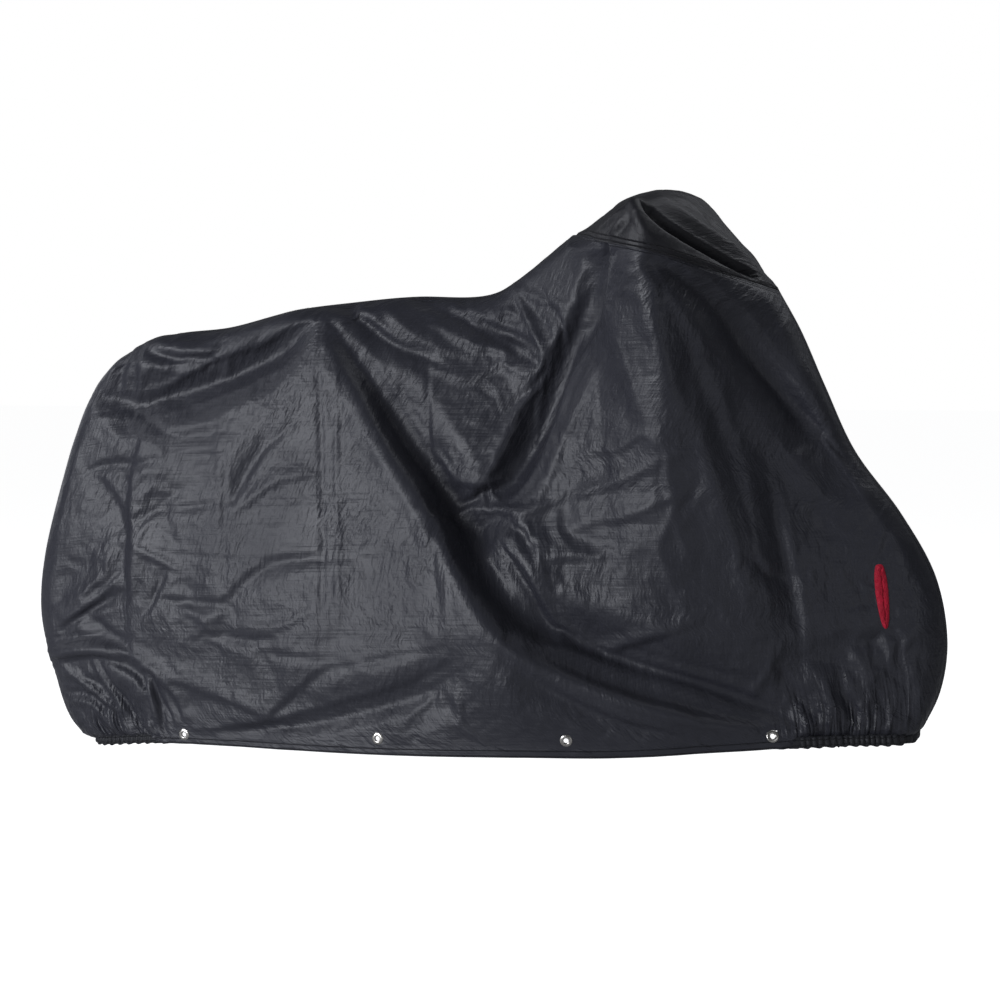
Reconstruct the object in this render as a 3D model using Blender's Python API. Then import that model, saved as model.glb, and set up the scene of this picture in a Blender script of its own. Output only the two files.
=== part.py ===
"""Fitted bicycle cover, modelled as it hangs over a bicycle.

The sizes below are in metres, measured from the ground under the middle of the wheelbase:
x runs forward, y to the left and z up. One empty then moves everything so that the point
under the top of the cover, where the handlebar stem carries it, is the origin.
"""

import math
from collections import namedtuple

import bmesh
import bpy
import numpy as np
from mathutils import Matrix, Vector

# ---------------------------------------------------------------- driving dimensions

CLOTH = 0.002              # thickness of the coated cloth with its coating and seams
SEAM_GAP = 0.0003          # clear space between two panels at their seam
SEAM_DROP = 0.0005         # upright space between a panel's edge and the piece sewn to it
STRIP_HEIGHT = 0.062       # height of the hem strips and of the cloth above the elastic
TUNNEL_BULGE = 0.0035      # how far the gathered tunnel stands out of the cloth
PUCKER_PITCH = 0.019       # length of one pucker along the elastic
PUCKER_DEPTH = 0.0030      # how far the puckers wave in and out
PUCKER_STEPS = 4           # columns for each pucker
# Rows of a gathered hem: height above the edge, then its shares of the bulge and of the puckers.
TUNNEL_ROWS = [(0.000, 0.0, 1.0), (0.010, 1.0, 1.0), (0.021, 0.7, 0.8), (0.030, 0.0, 0.6)]
REST_POINT = (0.380, 0.0, 1.163)   # under the top of the cap, at the handlebar stem

REAR_ELASTIC_END = -0.600  # x where the rear elastic ends on each side
FRONT_ELASTIC_END = 0.608  # x where the front elastic ends on each side

EYELET_HOLE = 0.0056       # radius of the clear hole
EYELET_BARREL = 0.0066     # outer radius of the barrel that passes through the cloth
EYELET_FLANGE = 0.0112     # outer radius of the two flanges
EYELET_METAL = 0.0007      # thickness of the flanges
EYELET_STEPS = 14          # steps round an eyelet
EYELET_CLEAR = 0.0004      # clear space between an eyelet and the cloth

SLOT_HEIGHT = 0.112        # outer height of the bound lock slot
SLOT_WIDTH = 0.025         # outer width of the bound lock slot
SLIT_HEIGHT = 0.096        # height of the open slit inside the binding
SLIT_WIDTH = 0.011         # width of the open slit at its middle
SLOT_PROUD = 0.0012        # how far the binding stands out of the cloth
SLOT_STEPS = 28            # steps round the slot
SLOT_LEAN = math.radians(7.0)
SLOT_CENTRE = (0.765, 0.441)

Point = namedtuple("Point", "x z")

# Outline of the cover seen from the side, where the two side panels meet.
REAR_OUTLINE = [
    Point(-0.772, 0.096),
    Point(-0.831, 0.142),
    Point(-0.868, 0.240),
    Point(-0.893, 0.345),
    Point(-0.886, 0.450),
    Point(-0.851, 0.585),
    Point(-0.811, 0.701),
    Point(-0.764, 0.802),
    Point(-0.696, 0.875),
]
FRONT_OUTLINE = [
    Point(0.833, 0.174),
    Point(0.866, 0.262),
    Point(0.877, 0.360),
    Point(0.860, 0.468),
    Point(0.797, 0.582),
    Point(0.712, 0.697),
    Point(0.655, 0.818),
    Point(0.612, 0.915),
    Point(0.572, 0.987),
]
SPINE = [
    Point(-0.696, 0.875),
    Point(-0.600, 0.911),
    Point(-0.480, 0.925),
    Point(-0.345, 0.957),
    Point(-0.230, 0.971),
    Point(-0.110, 0.981),
    Point(0.010, 0.980),
    Point(0.065, 0.995),
    Point(0.197, 1.092),
]
HEM = [
    Point(-0.772, 0.096),
    Point(-0.600, 0.118),
    Point(-0.392, 0.128),
    Point(-0.142, 0.138),
    Point(0.105, 0.150),
    Point(0.299, 0.155),
    Point(0.500, 0.168),
    Point(0.640, 0.174),
    Point(0.833, 0.174),
]

# Seam between a side panel and the handlebar cap: half-width at each point.
CapSeam = namedtuple("CapSeam", "x half_width z")
CAP_SEAM = [
    CapSeam(0.197, 0.000, 1.092),
    CapSeam(0.232, 0.062, 1.087),
    CapSeam(0.265, 0.135, 1.078),
    CapSeam(0.304, 0.212, 1.068),
    CapSeam(0.348, 0.268, 1.058),
    CapSeam(0.396, 0.284, 1.047),
    CapSeam(0.444, 0.252, 1.033),
    CapSeam(0.488, 0.190, 1.017),
    CapSeam(0.530, 0.110, 1.001),
    CapSeam(0.574, 0.000, 0.985),
]

# Cross-sections of the handlebar cap: crown is its top on the centre line, shoulder its top
# over the grips, and square says how square the section is.
CapSection = namedtuple("CapSection", "x crown shoulder square")
CAP_SECTIONS = [
    CapSection(0.197, 1.093, 1.093, 2.0),
    CapSection(0.240, 1.116, 1.106, 2.4),
    CapSection(0.300, 1.142, 1.124, 3.0),
    CapSection(0.350, 1.158, 1.140, 4.0),
    CapSection(0.385, 1.166, 1.138, 4.0),
    CapSection(0.425, 1.156, 1.112, 3.0),
    CapSection(0.470, 1.106, 1.074, 2.4),
    CapSection(0.520, 1.048, 1.028, 2.1),
    CapSection(0.574, 0.986, 0.986, 2.0),
]
HANDLEBAR_TURN = 0.115     # how far the left grip sits ahead, for each metre across
CAP_ROWS = 25
CAP_RIM_SHARE = 0.35       # share of the cap, from its seam, that turns with the seam's edge
CAP_TIP = 0.020            # share of the cap's length left off at each pointed end
SHARP_ANGLE = math.radians(60.0)

# Half-width of the cover at five heights between hem and top, before rounding and folds.
Section = namedtuple("Section", "x hem low middle high top")
SECTIONS = [
    Section(-0.90, 0.040, 0.055, 0.055, 0.045, 0.050),
    Section(-0.70, 0.080, 0.095, 0.092, 0.082, 0.062),
    Section(-0.50, 0.128, 0.132, 0.118, 0.100, 0.070),
    Section(-0.26, 0.178, 0.175, 0.140, 0.112, 0.088),
    Section(-0.05, 0.212, 0.205, 0.145, 0.092, 0.050),
    Section(0.10, 0.222, 0.215, 0.145, 0.092, 0.055),
    Section(0.20, 0.215, 0.192, 0.145, 0.122, 0.100),
    Section(0.27, 0.205, 0.185, 0.168, 0.160, 0.165),
    Section(0.32, 0.197, 0.190, 0.194, 0.206, 0.240),
    Section(0.39, 0.185, 0.192, 0.214, 0.246, 0.284),
    Section(0.45, 0.172, 0.178, 0.196, 0.218, 0.248),
    Section(0.53, 0.155, 0.150, 0.150, 0.150, 0.130),
    Section(0.60, 0.135, 0.125, 0.118, 0.104, 0.070),
    Section(0.70, 0.105, 0.095, 0.088, 0.070, 0.055),
    Section(0.90, 0.050, 0.058, 0.055, 0.045, 0.040),
]
SECTION_RISE = (0.0, 0.27, 0.52, 0.76, 1.0)

MEAN_HEIGHT = 0.80         # usual height of a side panel
NOSE_ROUND = 0.055         # depth over which the front and rear edges round off
TOP_ROUND = 0.042          # depth over which the top rounds off beside the seam

# Folds: depth is positive for a ridge and negative for a trough. The reaches are how far it
# spreads to the left and to the right of its line, walking from its first point to its last.
Fold = namedtuple("Fold", "name depth left right crisp start end line")
RIGHT_FOLDS = [
    Fold("saddle_to_hem_ridge", 0.026, 0.080, 0.160, 0.15, 0.25, 0.35,
         [(-0.250, 0.930), (-0.160, 0.745), (-0.030, 0.540), (0.075, 0.390), (0.160, 0.315),
          (0.300, 0.255), (0.470, 0.215), (0.610, 0.190)]),
    Fold("saddle_to_hem_trough", -0.036, 0.110, 0.075, 0.15, 0.30, 0.35,
         [(-0.235, 0.900), (-0.085, 0.705), (0.030, 0.545), (0.115, 0.430), (0.200, 0.372),
          (0.330, 0.322), (0.470, 0.285), (0.600, 0.245)]),
    Fold("handlebar_back_trough", -0.034, 0.060, 0.060, 0.2, 0.50, 0.50,
         [(0.285, 1.050), (0.255, 0.935), (0.205, 0.845), (0.150, 0.735), (0.105, 0.630),
          (0.040, 0.545)]),
    Fold("rear_crescent_trough", -0.020, 0.065, 0.090, 0.0, 0.30, 0.80,
         [(-0.290, 0.935), (-0.385, 0.858), (-0.470, 0.815), (-0.560, 0.785), (-0.665, 0.765)]),
    Fold("rear_shoulder_ridge", 0.012, 0.045, 0.055, 0.0, 0.40, 0.60,
         [(-0.320, 0.948), (-0.450, 0.895), (-0.570, 0.862), (-0.700, 0.842)]),
    Fold("rear_step", 0.016, 0.040, 0.060, 0.2, 0.60, 0.40,
         [(-0.860, 0.268), (-0.745, 0.283), (-0.640, 0.235), (-0.570, 0.160)]),
    Fold("rear_knee_ridge", 0.009, 0.040, 0.040, 0.2, 0.20, 0.60,
         [(-0.835, 0.350), (-0.740, 0.430), (-0.690, 0.520)]),
    Fold("front_grip_ridge", 0.010, 0.060, 0.060, 0.2, 0.80, 0.50,
         [(0.345, 1.060), (0.375, 0.850), (0.405, 0.640), (0.410, 0.520)]),
    Fold("front_diagonal_trough", -0.020, 0.050, 0.050, 0.2, 0.90, 0.50,
         [(0.425, 1.030), (0.520, 0.900), (0.610, 0.760), (0.700, 0.640)]),
    Fold("front_low_trough", -0.014, 0.065, 0.040, 0.2, 0.50, 0.50,
         [(0.585, 0.640), (0.615, 0.540), (0.640, 0.440), (0.645, 0.365)]),
    Fold("hem_rise_trough", -0.010, 0.050, 0.055, 0.2, 0.40, 0.30,
         [(-0.420, 0.150), (-0.300, 0.205), (-0.120, 0.250), (0.040, 0.330)]),
    Fold("rear_storage_crease", 0.004, 0.060, 0.060, 0.5, 0.50, 0.50,
         [(-0.465, 0.760), (-0.470, 0.560), (-0.478, 0.360)]),
]
CAP_FOLDS = [
    Fold("grip_to_front_trough", -0.022, 0.024, 0.034, 0.3, 0.40, 0.10,
         [(0.350, 1.118), (0.420, 1.078), (0.480, 1.040), (0.530, 1.012)]),
    Fold("grip_to_front_ridge", 0.012, 0.024, 0.024, 0.3, 0.40, 0.10,
         [(0.360, 1.140), (0.430, 1.105), (0.490, 1.062), (0.540, 1.018)]),
    Fold("grip_ridge", 0.006, 0.030, 0.030, 0.4, 0.90, 0.50,
         [(0.345, 1.128), (0.355, 1.090), (0.365, 1.050)]),
]
LEFT_FOLDS = [
    Fold("saddle_to_hem_ridge", 0.022, 0.070, 0.055, 0.5, 0.25, 0.35,
         [(-0.250, 0.930), (-0.165, 0.700), (-0.090, 0.520), (0.030, 0.400), (0.240, 0.285),
          (0.520, 0.215)]),
    Fold("saddle_to_hem_trough", -0.026, 0.065, 0.055, 0.5, 0.30, 0.35,
         [(-0.220, 0.880), (-0.080, 0.660), (0.040, 0.490), (0.220, 0.380), (0.500, 0.290)]),
    Fold("handlebar_back_trough", -0.020, 0.045, 0.045, 0.5, 0.50, 0.60,
         [(0.290, 1.050), (0.240, 0.880), (0.150, 0.720), (0.060, 0.570)]),
    Fold("rear_crescent_trough", -0.028, 0.050, 0.040, 0.5, 0.30, 0.80,
         [(-0.300, 0.930), (-0.460, 0.835), (-0.650, 0.780)]),
    Fold("rear_shoulder_ridge", 0.015, 0.035, 0.050, 0.4, 0.40, 0.60,
         [(-0.330, 0.945), (-0.520, 0.872), (-0.700, 0.842)]),
    Fold("front_diagonal_trough", -0.014, 0.050, 0.050, 0.5, 0.90, 0.50,
         [(0.440, 1.020), (0.560, 0.860), (0.680, 0.660)]),
    Fold("front_low_trough", -0.012, 0.050, 0.040, 0.5, 0.50, 0.50,
         [(0.560, 0.620), (0.600, 0.460), (0.610, 0.330)]),
    Fold("rear_step", 0.012, 0.035, 0.055, 0.5, 0.60, 0.40,
         [(-0.860, 0.290), (-0.735, 0.300), (-0.590, 0.190)]),
]

Grid = namedtuple("Grid", "pitch front_pitch rows")
NEAR_GRID = Grid(0.036, 0.024, 23)
FAR_GRID = Grid(0.054, 0.024, 15)
NOSE_STEPS = 4             # steps round an edge
EYELET_PATCH = 0.017       # half-width of the flat place round an eyelet

Side = namedtuple("Side", "name sign folds grid")
RIGHT = Side("right", -1.0, RIGHT_FOLDS, NEAR_GRID)
LEFT = Side("left", 1.0, LEFT_FOLDS, FAR_GRID)

# Eyelets: x along the hem and height above its edge.
EYELET_STATIONS = [(-0.527, 0.025), (-0.121, 0.037), (0.222, 0.037), (0.575, 0.025)]

Finish = namedtuple("Finish", "name colour roughness metallic")
CLOTH_BLACK = Finish("black_coated_cloth", (0.030, 0.031, 0.037), 0.52, 0.0)
HEM_BLACK = Finish("black_hem_cloth", (0.024, 0.025, 0.030), 0.60, 0.0)
SLOT_RED = Finish("red_binding", (0.480, 0.018, 0.045), 0.60, 0.0)
NICKEL = Finish("nickel", (0.720, 0.700, 0.650), 0.28, 1.0)


# ---------------------------------------------------------------- smooth curves and tables

def spline_weights(knots, at):
    """Weights that blend values at the knots into smooth values at the places asked for."""
    knots = np.asarray(knots, float)
    at = np.clip(np.asarray(at, float), knots[0], knots[-1])
    count = len(knots)
    slopes = np.zeros((count, count))
    for i in range(count):
        before = max(i - 1, 0)
        after = min(i + 1, count - 1)
        slopes[i, after] += 1.0 / (knots[after] - knots[before])
        slopes[i, before] -= 1.0 / (knots[after] - knots[before])
    cell = np.clip(np.searchsorted(knots, at, side="right") - 1, 0, count - 2)
    length = knots[cell + 1] - knots[cell]
    t = ((at - knots[cell]) / length)[:, None]
    values = np.eye(count)
    return ((2 * t**3 - 3 * t**2 + 1) * values[cell]
            + (t**3 - 2 * t**2 + t) * length[:, None] * slopes[cell]
            + (3 * t**2 - 2 * t**3) * values[cell + 1]
            + (t**3 - t**2) * length[:, None] * slopes[cell + 1])


def along(points, fractions):
    """Points on the smooth curve through the given points, at fractions of its length."""
    points = np.asarray(points, float)
    steps = np.linalg.norm(np.diff(points, axis=0), axis=1)
    knots = np.concatenate(([0.0], np.cumsum(steps)))
    fractions = np.atleast_1d(np.asarray(fractions, float))
    return spline_weights(knots / knots[-1], fractions) @ points


def rounded(depth, reach):
    """Quarter-round rise from 0 at an edge to 1 at the given reach from it."""
    q = 1.0 - np.clip(depth / reach, 0.0, 1.0)
    return np.sqrt(np.clip(1.0 - q * q, 0.0, 1.0))


# ---------------------------------------------------------------- surface of a side

def cap_share():
    """Fraction of the top edge, from the rear, at which the handlebar cap begins."""
    spine = sum(math.dist(a, b) for a, b in zip(SPINE, SPINE[1:]))
    seam = CAP_SEAM[-1].x - CAP_SEAM[0].x
    return spine / (spine + seam)


def cap_seam_at(fractions):
    """Seam of the cap as rows of x, half-width and z."""
    points = along([(s.x, s.half_width, s.z) for s in CAP_SEAM], fractions)
    points[:, 1] = np.clip(points[:, 1], 0.0, None)
    return points


def top_edge(u):
    """Top edge of a side panel: x, half-width and z, along the spine and then the cap."""
    split = cap_share()
    on_spine = along(SPINE, np.clip(u / split, 0.0, 1.0))
    on_cap = cap_seam_at(np.clip((u - split) / (1.0 - split), 0.0, 1.0))
    spine = np.stack([on_spine[:, 0], np.zeros(len(u)), on_spine[:, 1]], axis=1)
    return np.where((u <= split)[:, None], spine, on_cap)


def side_view(u, t):
    """Side-view place (x, z) for fractions u, rear to front, and t, hem to top."""
    hem = along(HEM, u)
    top = top_edge(u)[:, [0, 2]]
    rear = along(REAR_OUTLINE, t)
    front = along(FRONT_OUTLINE, t)
    u = u[:, None]
    t = t[:, None]
    rear_bulge = rear - (1 - t) * rear_end(0) - t * rear_end(-1)
    front_bulge = front - (1 - t) * front_end(0) - t * front_end(-1)
    return (1 - t) * hem + t * top + (1 - u) * rear_bulge + u * front_bulge


def rear_end(index):
    """Corner of the rear outline."""
    return np.array(REAR_OUTLINE[index])


def front_end(index):
    """Corner of the front outline."""
    return np.array(FRONT_OUTLINE[index])


def fold_offset(fold, places):
    """Outward offset that one fold adds at each side-view place."""
    line = along(fold.line, np.linspace(0.0, 1.0, 33))
    starts = line[:-1]
    runs = line[1:] - starts
    lengths = (runs**2).sum(axis=1)
    relative = places[:, None, :] - starts[None, :, :]
    share = np.clip((relative * runs).sum(axis=2) / lengths, 0.0, 1.0)
    away = relative - share[:, :, None] * runs
    distance = np.sqrt((away**2).sum(axis=2))
    nearest = distance.argmin(axis=1)
    index = np.arange(len(places))
    distance = distance[index, nearest]
    run = runs[nearest]
    offset = relative[index, nearest]
    on_left = run[:, 0] * offset[:, 1] - run[:, 1] * offset[:, 0] > 0.0
    fraction = (nearest + share[index, nearest]) / len(runs)
    q = np.clip(distance / np.where(on_left, fold.left, fold.right), 0.0, 1.0)
    soft = 0.5 + 0.5 * np.cos(np.pi * q)
    sharp = (1.0 - np.sqrt(q * q + 0.003) / math.sqrt(1.003)) ** 2 / (1.0 - math.sqrt(0.003)) ** 2
    height = fold.crisp * sharp * (q < 1.0) + (1.0 - fold.crisp) * soft
    rise = np.clip(fraction / 0.25, 0.0, 1.0)
    fall = np.clip((1.0 - fraction) / 0.25, 0.0, 1.0)
    strength = (fold.start + (1 - fold.start) * rise) * (fold.end + (1 - fold.end) * fall)
    return fold.depth * height * strength


def side_surface(side, u, t):
    """Points of the outer surface of one side, for matching arrays of u and t."""
    u = np.asarray(u, float)
    t = np.asarray(t, float)
    places = side_view(u, t)
    across = spline_weights([s.x for s in SECTIONS], places[:, 0])
    upward = spline_weights(SECTION_RISE, t)
    table = np.array([s[1:] for s in SECTIONS])
    width = ((across @ table) * upward).sum(axis=1)
    edge = top_edge(u)
    open_top = np.clip(edge[:, 1] / width_at_top(edge[:, 0]), 0.0, 1.0)
    length = side_length()
    height = side_height(u)
    nose = rounded(u * length, NOSE_ROUND) * rounded((1.0 - u) * length, NOSE_ROUND)
    roof = open_top + (1.0 - open_top) * rounded((1.0 - t) * height, TOP_ROUND)
    folds = sum(fold_offset(fold, places) for fold in side.folds)
    calm = np.clip((1.0 - t) * height / 0.06, 0.0, 1.0) * np.clip(nose, 0.0, 1.0) ** 2
    half = np.clip(width * nose * roof + folds * calm, 0.0, None)
    half = np.maximum(half, SEAM_GAP / 2.0)
    return np.stack([places[:, 0] + HANDLEBAR_TURN * side.sign * half * grip_share(t, open_top),
                     side.sign * half, places[:, 1]], axis=1)


def grip_share(t, open_top):
    """How much of the handlebar's turn a point follows: all of it at the cap, none low down."""
    return open_top * np.clip((t - 0.45) / 0.55, 0.0, 1.0) ** 2


def width_at_top(x):
    """Half-width of the section table at the top, for the given x."""
    weights = spline_weights([s.x for s in SECTIONS], x)
    return np.maximum(weights @ np.array([s.top for s in SECTIONS]), 0.02)


def surface_normal(surface, a, b, step=0.002):
    """Unit normals of surface(a, b), by small steps to each side that stay in its range."""
    low_a, high_a = np.clip(a - step, 0, 1), np.clip(a + step, 0, 1)
    low_b, high_b = np.clip(b - step, 0, 1), np.clip(b + step, 0, 1)
    normal = np.cross(surface(high_a, b) - surface(low_a, b),
                      surface(a, high_b) - surface(a, low_b))
    size = np.linalg.norm(normal, axis=1, keepdims=True)
    return normal / np.maximum(size, 1e-12)


def side_height(u):
    """Straight side-view distance from hem to top edge at each u."""
    return np.linalg.norm(top_edge(u)[:, [0, 2]] - along(HEM, u), axis=1)


def u_at_hem(x):
    """Fraction u at which the hem passes the given x."""
    fractions = np.linspace(0.0, 1.0, 801)
    return float(np.interp(x, along(HEM, fractions)[:, 0], fractions))


def panel_columns(side):
    """Column fractions of a side: close together round the two edges, flat at each eyelet."""
    length = side_length()
    angles = np.linspace(0.0, math.pi / 2, NOSE_STEPS + 1)
    nose = NOSE_ROUND / length * (1.0 - np.cos(angles))
    split = cap_share()
    rear_count = round((split - nose[-1]) * length / side.grid.pitch)
    front_count = round((1.0 - nose[-1] - split) * length / side.grid.front_pitch)
    middle = np.concatenate((np.linspace(nose[-1], split, rear_count + 1)[:-1],
                             np.linspace(split, 1.0 - nose[-1], front_count + 1)))
    fixed = [u_at_hem(REAR_ELASTIC_END), u_at_hem(FRONT_ELASTIC_END)]
    for x, _ in EYELET_STATIONS:
        fixed += [u_at_hem(x - EYELET_PATCH), u_at_hem(x + EYELET_PATCH)]
    for place in fixed:
        others = [u for u in fixed if u != place]
        candidates = [u for u in middle[1:-1] if u not in others]
        nearest = min(candidates, key=lambda u: abs(u - place))
        middle[np.argmin(abs(middle - nearest))] = place
    return np.concatenate((nose[:-1], np.sort(middle), (1.0 - nose[:-1])[::-1]))


def panel_rows(side):
    """Row fractions from the bottom of a panel to its top, closer where the top rounds off."""
    angles = np.linspace(math.pi / 2, 0.0, NOSE_STEPS + 1)
    roof = 1.0 - TOP_ROUND / MEAN_HEIGHT * (1.0 - np.cos(angles))
    middle = np.linspace(0.0, roof[0], side.grid.rows - NOSE_STEPS + 1)
    return np.concatenate((middle[:-1], roof))


def side_length():
    """Length of a side from its rear outline to its front one, along the ground."""
    return FRONT_OUTLINE[0].x - REAR_OUTLINE[0].x


def place_on_side(x, z):
    """Fractions u and t of the side-view place (x, z)."""
    guess = np.array([0.5, 0.5])
    target = np.array([x, z])
    step = 1e-4
    for _ in range(20):
        here = side_view(guess[:1], guess[1:])[0]
        by_u = (side_view(guess[:1] + step, guess[1:])[0] - here) / step
        by_t = (side_view(guess[:1], guess[1:] + step)[0] - here) / step
        guess = guess + np.linalg.solve(np.stack([by_u, by_t], axis=1), target - here)
        guess = np.clip(guess, 0.001, 0.999 - step)
    return guess


# ---------------------------------------------------------------- meshes

def add_cell(mesh, corners, first=None):
    """Face of a grid cell, split along the diagonal from its corner of index first, if given."""
    if first is None:
        mesh.faces.new(corners)
        return
    ring = corners[first:] + corners[:first]
    mesh.faces.new(ring[:3])
    mesh.faces.new((ring[0], ring[2], ring[3]))


def closed_sheet(outer, inner, wrap=False):
    """Closed mesh between two matching grids of points, rows by columns.

    The two top corner cells are split from the corner, where three edges of the cloth meet.
    """
    rows, columns = outer.shape[:2]
    mesh = bmesh.new()
    near = [[mesh.verts.new(point) for point in row] for row in outer]
    far = [[mesh.verts.new(point) for point in row] for row in inner]
    last = columns if wrap else columns - 1
    for r in range(rows - 1):
        for c in range(last):
            d = (c + 1) % columns
            at_top = r == rows - 2 and rows > 2 and not wrap
            split = {0: (3, 1), last - 1: (2, 2)}.get(c, (None, None)) if at_top else (None, None)
            add_cell(mesh, [near[r][c], near[r][d], near[r + 1][d], near[r + 1][c]], split[0])
            add_cell(mesh, [far[r][c], far[r + 1][c], far[r + 1][d], far[r][d]], split[1])
    bottom = [(0, c) for c in range(columns)]
    top = [(rows - 1, c) for c in range(columns)]
    if wrap:
        loops = [bottom, top[::-1]]
    else:
        right = [(r, columns - 1) for r in range(rows)]
        left = [(r, 0) for r in range(rows)]
        loops = [bottom[:-1] + right[:-1] + top[:0:-1] + left[:0:-1]]
    for loop in loops:
        for (ra, ca), (rb, cb) in zip(loop, loop[1:] + loop[:1]):
            mesh.faces.new((near[rb][cb], near[ra][ca], far[ra][ca], far[rb][cb]))
    bmesh.ops.recalc_face_normals(mesh, faces=mesh.faces)
    return mesh


def make_material(name, finish):
    """Principled material of a piece."""
    material = bpy.data.materials.new(f"{name}_{finish.name}")
    material.use_nodes = True
    shader = material.node_tree.nodes["Principled BSDF"]
    shader.inputs["Base Color"].default_value = (*finish.colour, 1.0)
    shader.inputs["Roughness"].default_value = finish.roughness
    shader.inputs["Metallic"].default_value = finish.metallic
    return material


def make_object(name, mesh, finish, parent):
    """Object from a bmesh, with its own material."""
    data = bpy.data.meshes.new(name)
    mesh.to_mesh(data)
    mesh.free()
    data.shade_smooth()
    data.set_sharp_from_angle(angle=SHARP_ANGLE)
    thing = bpy.data.objects.new(name, data)
    data.materials.append(make_material(name, finish))
    bpy.context.scene.collection.objects.link(thing)
    thing.parent = parent
    return thing


def cut(thing, cutter):
    """Cut a hidden helper out of an object."""
    cutter.hide_render = True
    cutter.display_type = "WIRE"
    modifier = thing.modifiers.new(cutter.name, "BOOLEAN")
    modifier.operation = "DIFFERENCE"
    modifier.solver = "EXACT"
    modifier.object = cutter


def keep_to_side(side, points):
    """Keep points on their own side of the seam between the two side panels."""
    points[:, 1] = side.sign * np.maximum(side.sign * points[:, 1], SEAM_GAP / 2.0)
    return points


def skins(side, u, t):
    """Outer points, inner points and outward normals of the cloth of one side."""
    points = side_surface(side, u, t)
    # The top corners have no normal of their own, so they take the one just beside them.
    beside = np.where(t > 0.999, np.clip(u, 0.002, 0.998), u)
    normals = surface_normal(lambda a, b: side_surface(side, a, b), beside, t) * -side.sign
    normals[:, 1] = side.sign * np.maximum(side.sign * normals[:, 1], 0.0)
    inner = points - normals * CLOTH
    return keep_to_side(side, points), keep_to_side(side, inner), normals


def cap_normals(s, a):
    """Outward normals of the cap's outer face."""
    return surface_normal(lambda p, q: cap_surface(p, 2.0 * q - 1.0), s, (a + 1.0) / 2.0)


def panel_edge(side, share):
    """Columns, outer and inner points along a panel's bottom (share 0) or top (share 1) edge."""
    u = panel_columns(side)
    low = STRIP_HEIGHT / side_height(u)
    outer, inner, normals = skins(side, u, low + (1.0 - low) * share)
    if share == 1:
        s = (u - cap_share()) / (1.0 - cap_share())
        cap = cap_normals(np.clip(s, CAP_TIP, 1.0 - CAP_TIP), np.full(len(u), side.sign))
        both = normals + np.where((s > 0.0)[:, None], cap, normals)
        both /= np.linalg.norm(both, axis=1, keepdims=True)
        both[:, 1] = side.sign * np.maximum(side.sign * both[:, 1], 0.0)
        inner = keep_to_side(side, outer - both * CLOTH)
    return u, outer, inner


def follow_edge(side, share, u, shift):
    """Outer and inner points that lie along a panel's edge, moved off it by shift in z."""
    columns, outer, inner = panel_edge(side, share)
    rows = []
    for points in (outer, inner):
        row = np.stack([np.interp(u, columns, points[:, i]) for i in range(3)], axis=1)
        row[:, 2] += shift
        rows.append(row)
    return rows


def side_panel(side, parent):
    """Large panel of one side, from the top of the hem strip to the spine and the cap."""
    u = panel_columns(side)
    low = STRIP_HEIGHT / side_height(u)
    outer, inner = [], []
    for share in panel_rows(side)[:-1]:
        points, below, _ = skins(side, u, low + (1.0 - low) * share)
        outer.append(points)
        inner.append(below)
    _, points, below = panel_edge(side, 1)
    outer.append(points)
    inner.append(below)
    mesh = closed_sheet(np.array(outer), np.array(inner))
    return make_object(f"{side.name}_side_panel", mesh, CLOTH_BLACK, parent)


def patch_columns(u, x):
    """Indices of the two columns beside the eyelet that sits at x along the hem."""
    return [int(abs(u - u_at_hem(x + reach)).argmin()) for reach in (-EYELET_PATCH, EYELET_PATCH)]


def strip_grid(side):
    """Columns, outer points and inner points of a hem strip, flat round each eyelet."""
    columns = panel_columns(side)
    start = u_at_hem(REAR_ELASTIC_END) + SEAM_DROP / side_length()
    end = u_at_hem(FRONT_ELASTIC_END) - SEAM_DROP / side_length()
    inside = columns[(columns > start + 1e-3) & (columns < end - 1e-3)]
    u = np.concatenate(([start], inside, [end]))
    low_outer, low_inner, _ = skins(side, u, np.zeros(len(u)))
    top_outer, top_inner = follow_edge(side, 0, u, -SEAM_DROP)
    for x, _ in EYELET_STATIONS:
        pair = patch_columns(u, x)
        run = top_outer[pair[1]] - top_outer[pair[0]]
        middle = low_outer[pair].mean(axis=0)
        low_outer[pair] = [middle - run / 2.0, middle + run / 2.0]
        normal = np.cross(run, top_outer[pair].mean(axis=0) - middle) * -side.sign
        sink = normal / np.linalg.norm(normal) * CLOTH
        low_inner[pair] = low_outer[pair] - sink
        top_inner[pair, :2] = (top_outer[pair] - sink)[:, :2]
    return u, np.array([low_outer, top_outer]), np.array([low_inner, top_inner])


def hem_strip(side, parent):
    """Lowest strip of one side between the two elastic parts."""
    _, outer, inner = strip_grid(side)
    return make_object(f"{side.name}_hem_strip", closed_sheet(outer, inner), HEM_BLACK, parent)


def eyelet_frame(side, x, rise):
    """Centre of an eyelet in the middle of the cloth, and the way its hole points."""
    u, outer, inner = strip_grid(side)
    pair = patch_columns(u, x)
    share = rise / STRIP_HEIGHT
    both = (outer[:, pair] + inner[:, pair]).mean(axis=1) / 2.0
    centre = both[0] * (1.0 - share) + both[1] * share
    normal = np.cross(outer[1, pair[1]] - outer[1, pair[0]], both[1] - both[0]) * -side.sign
    return Vector(centre), Vector(normal).normalized()


def ring_mesh(profile, steps):
    """Closed ring turned about z from a closed profile of radius and height."""
    mesh = bmesh.new()
    rings = []
    for step in range(steps):
        angle = 2.0 * math.pi * step / steps
        rings.append([mesh.verts.new((r * math.cos(angle), r * math.sin(angle), h))
                      for r, h in profile])
    for here, after in zip(rings, rings[1:] + rings[:1]):
        for i in range(len(profile)):
            j = (i + 1) % len(profile)
            mesh.faces.new((here[i], after[i], after[j], here[j]))
    bmesh.ops.recalc_face_normals(mesh, faces=mesh.faces)
    return mesh


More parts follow.
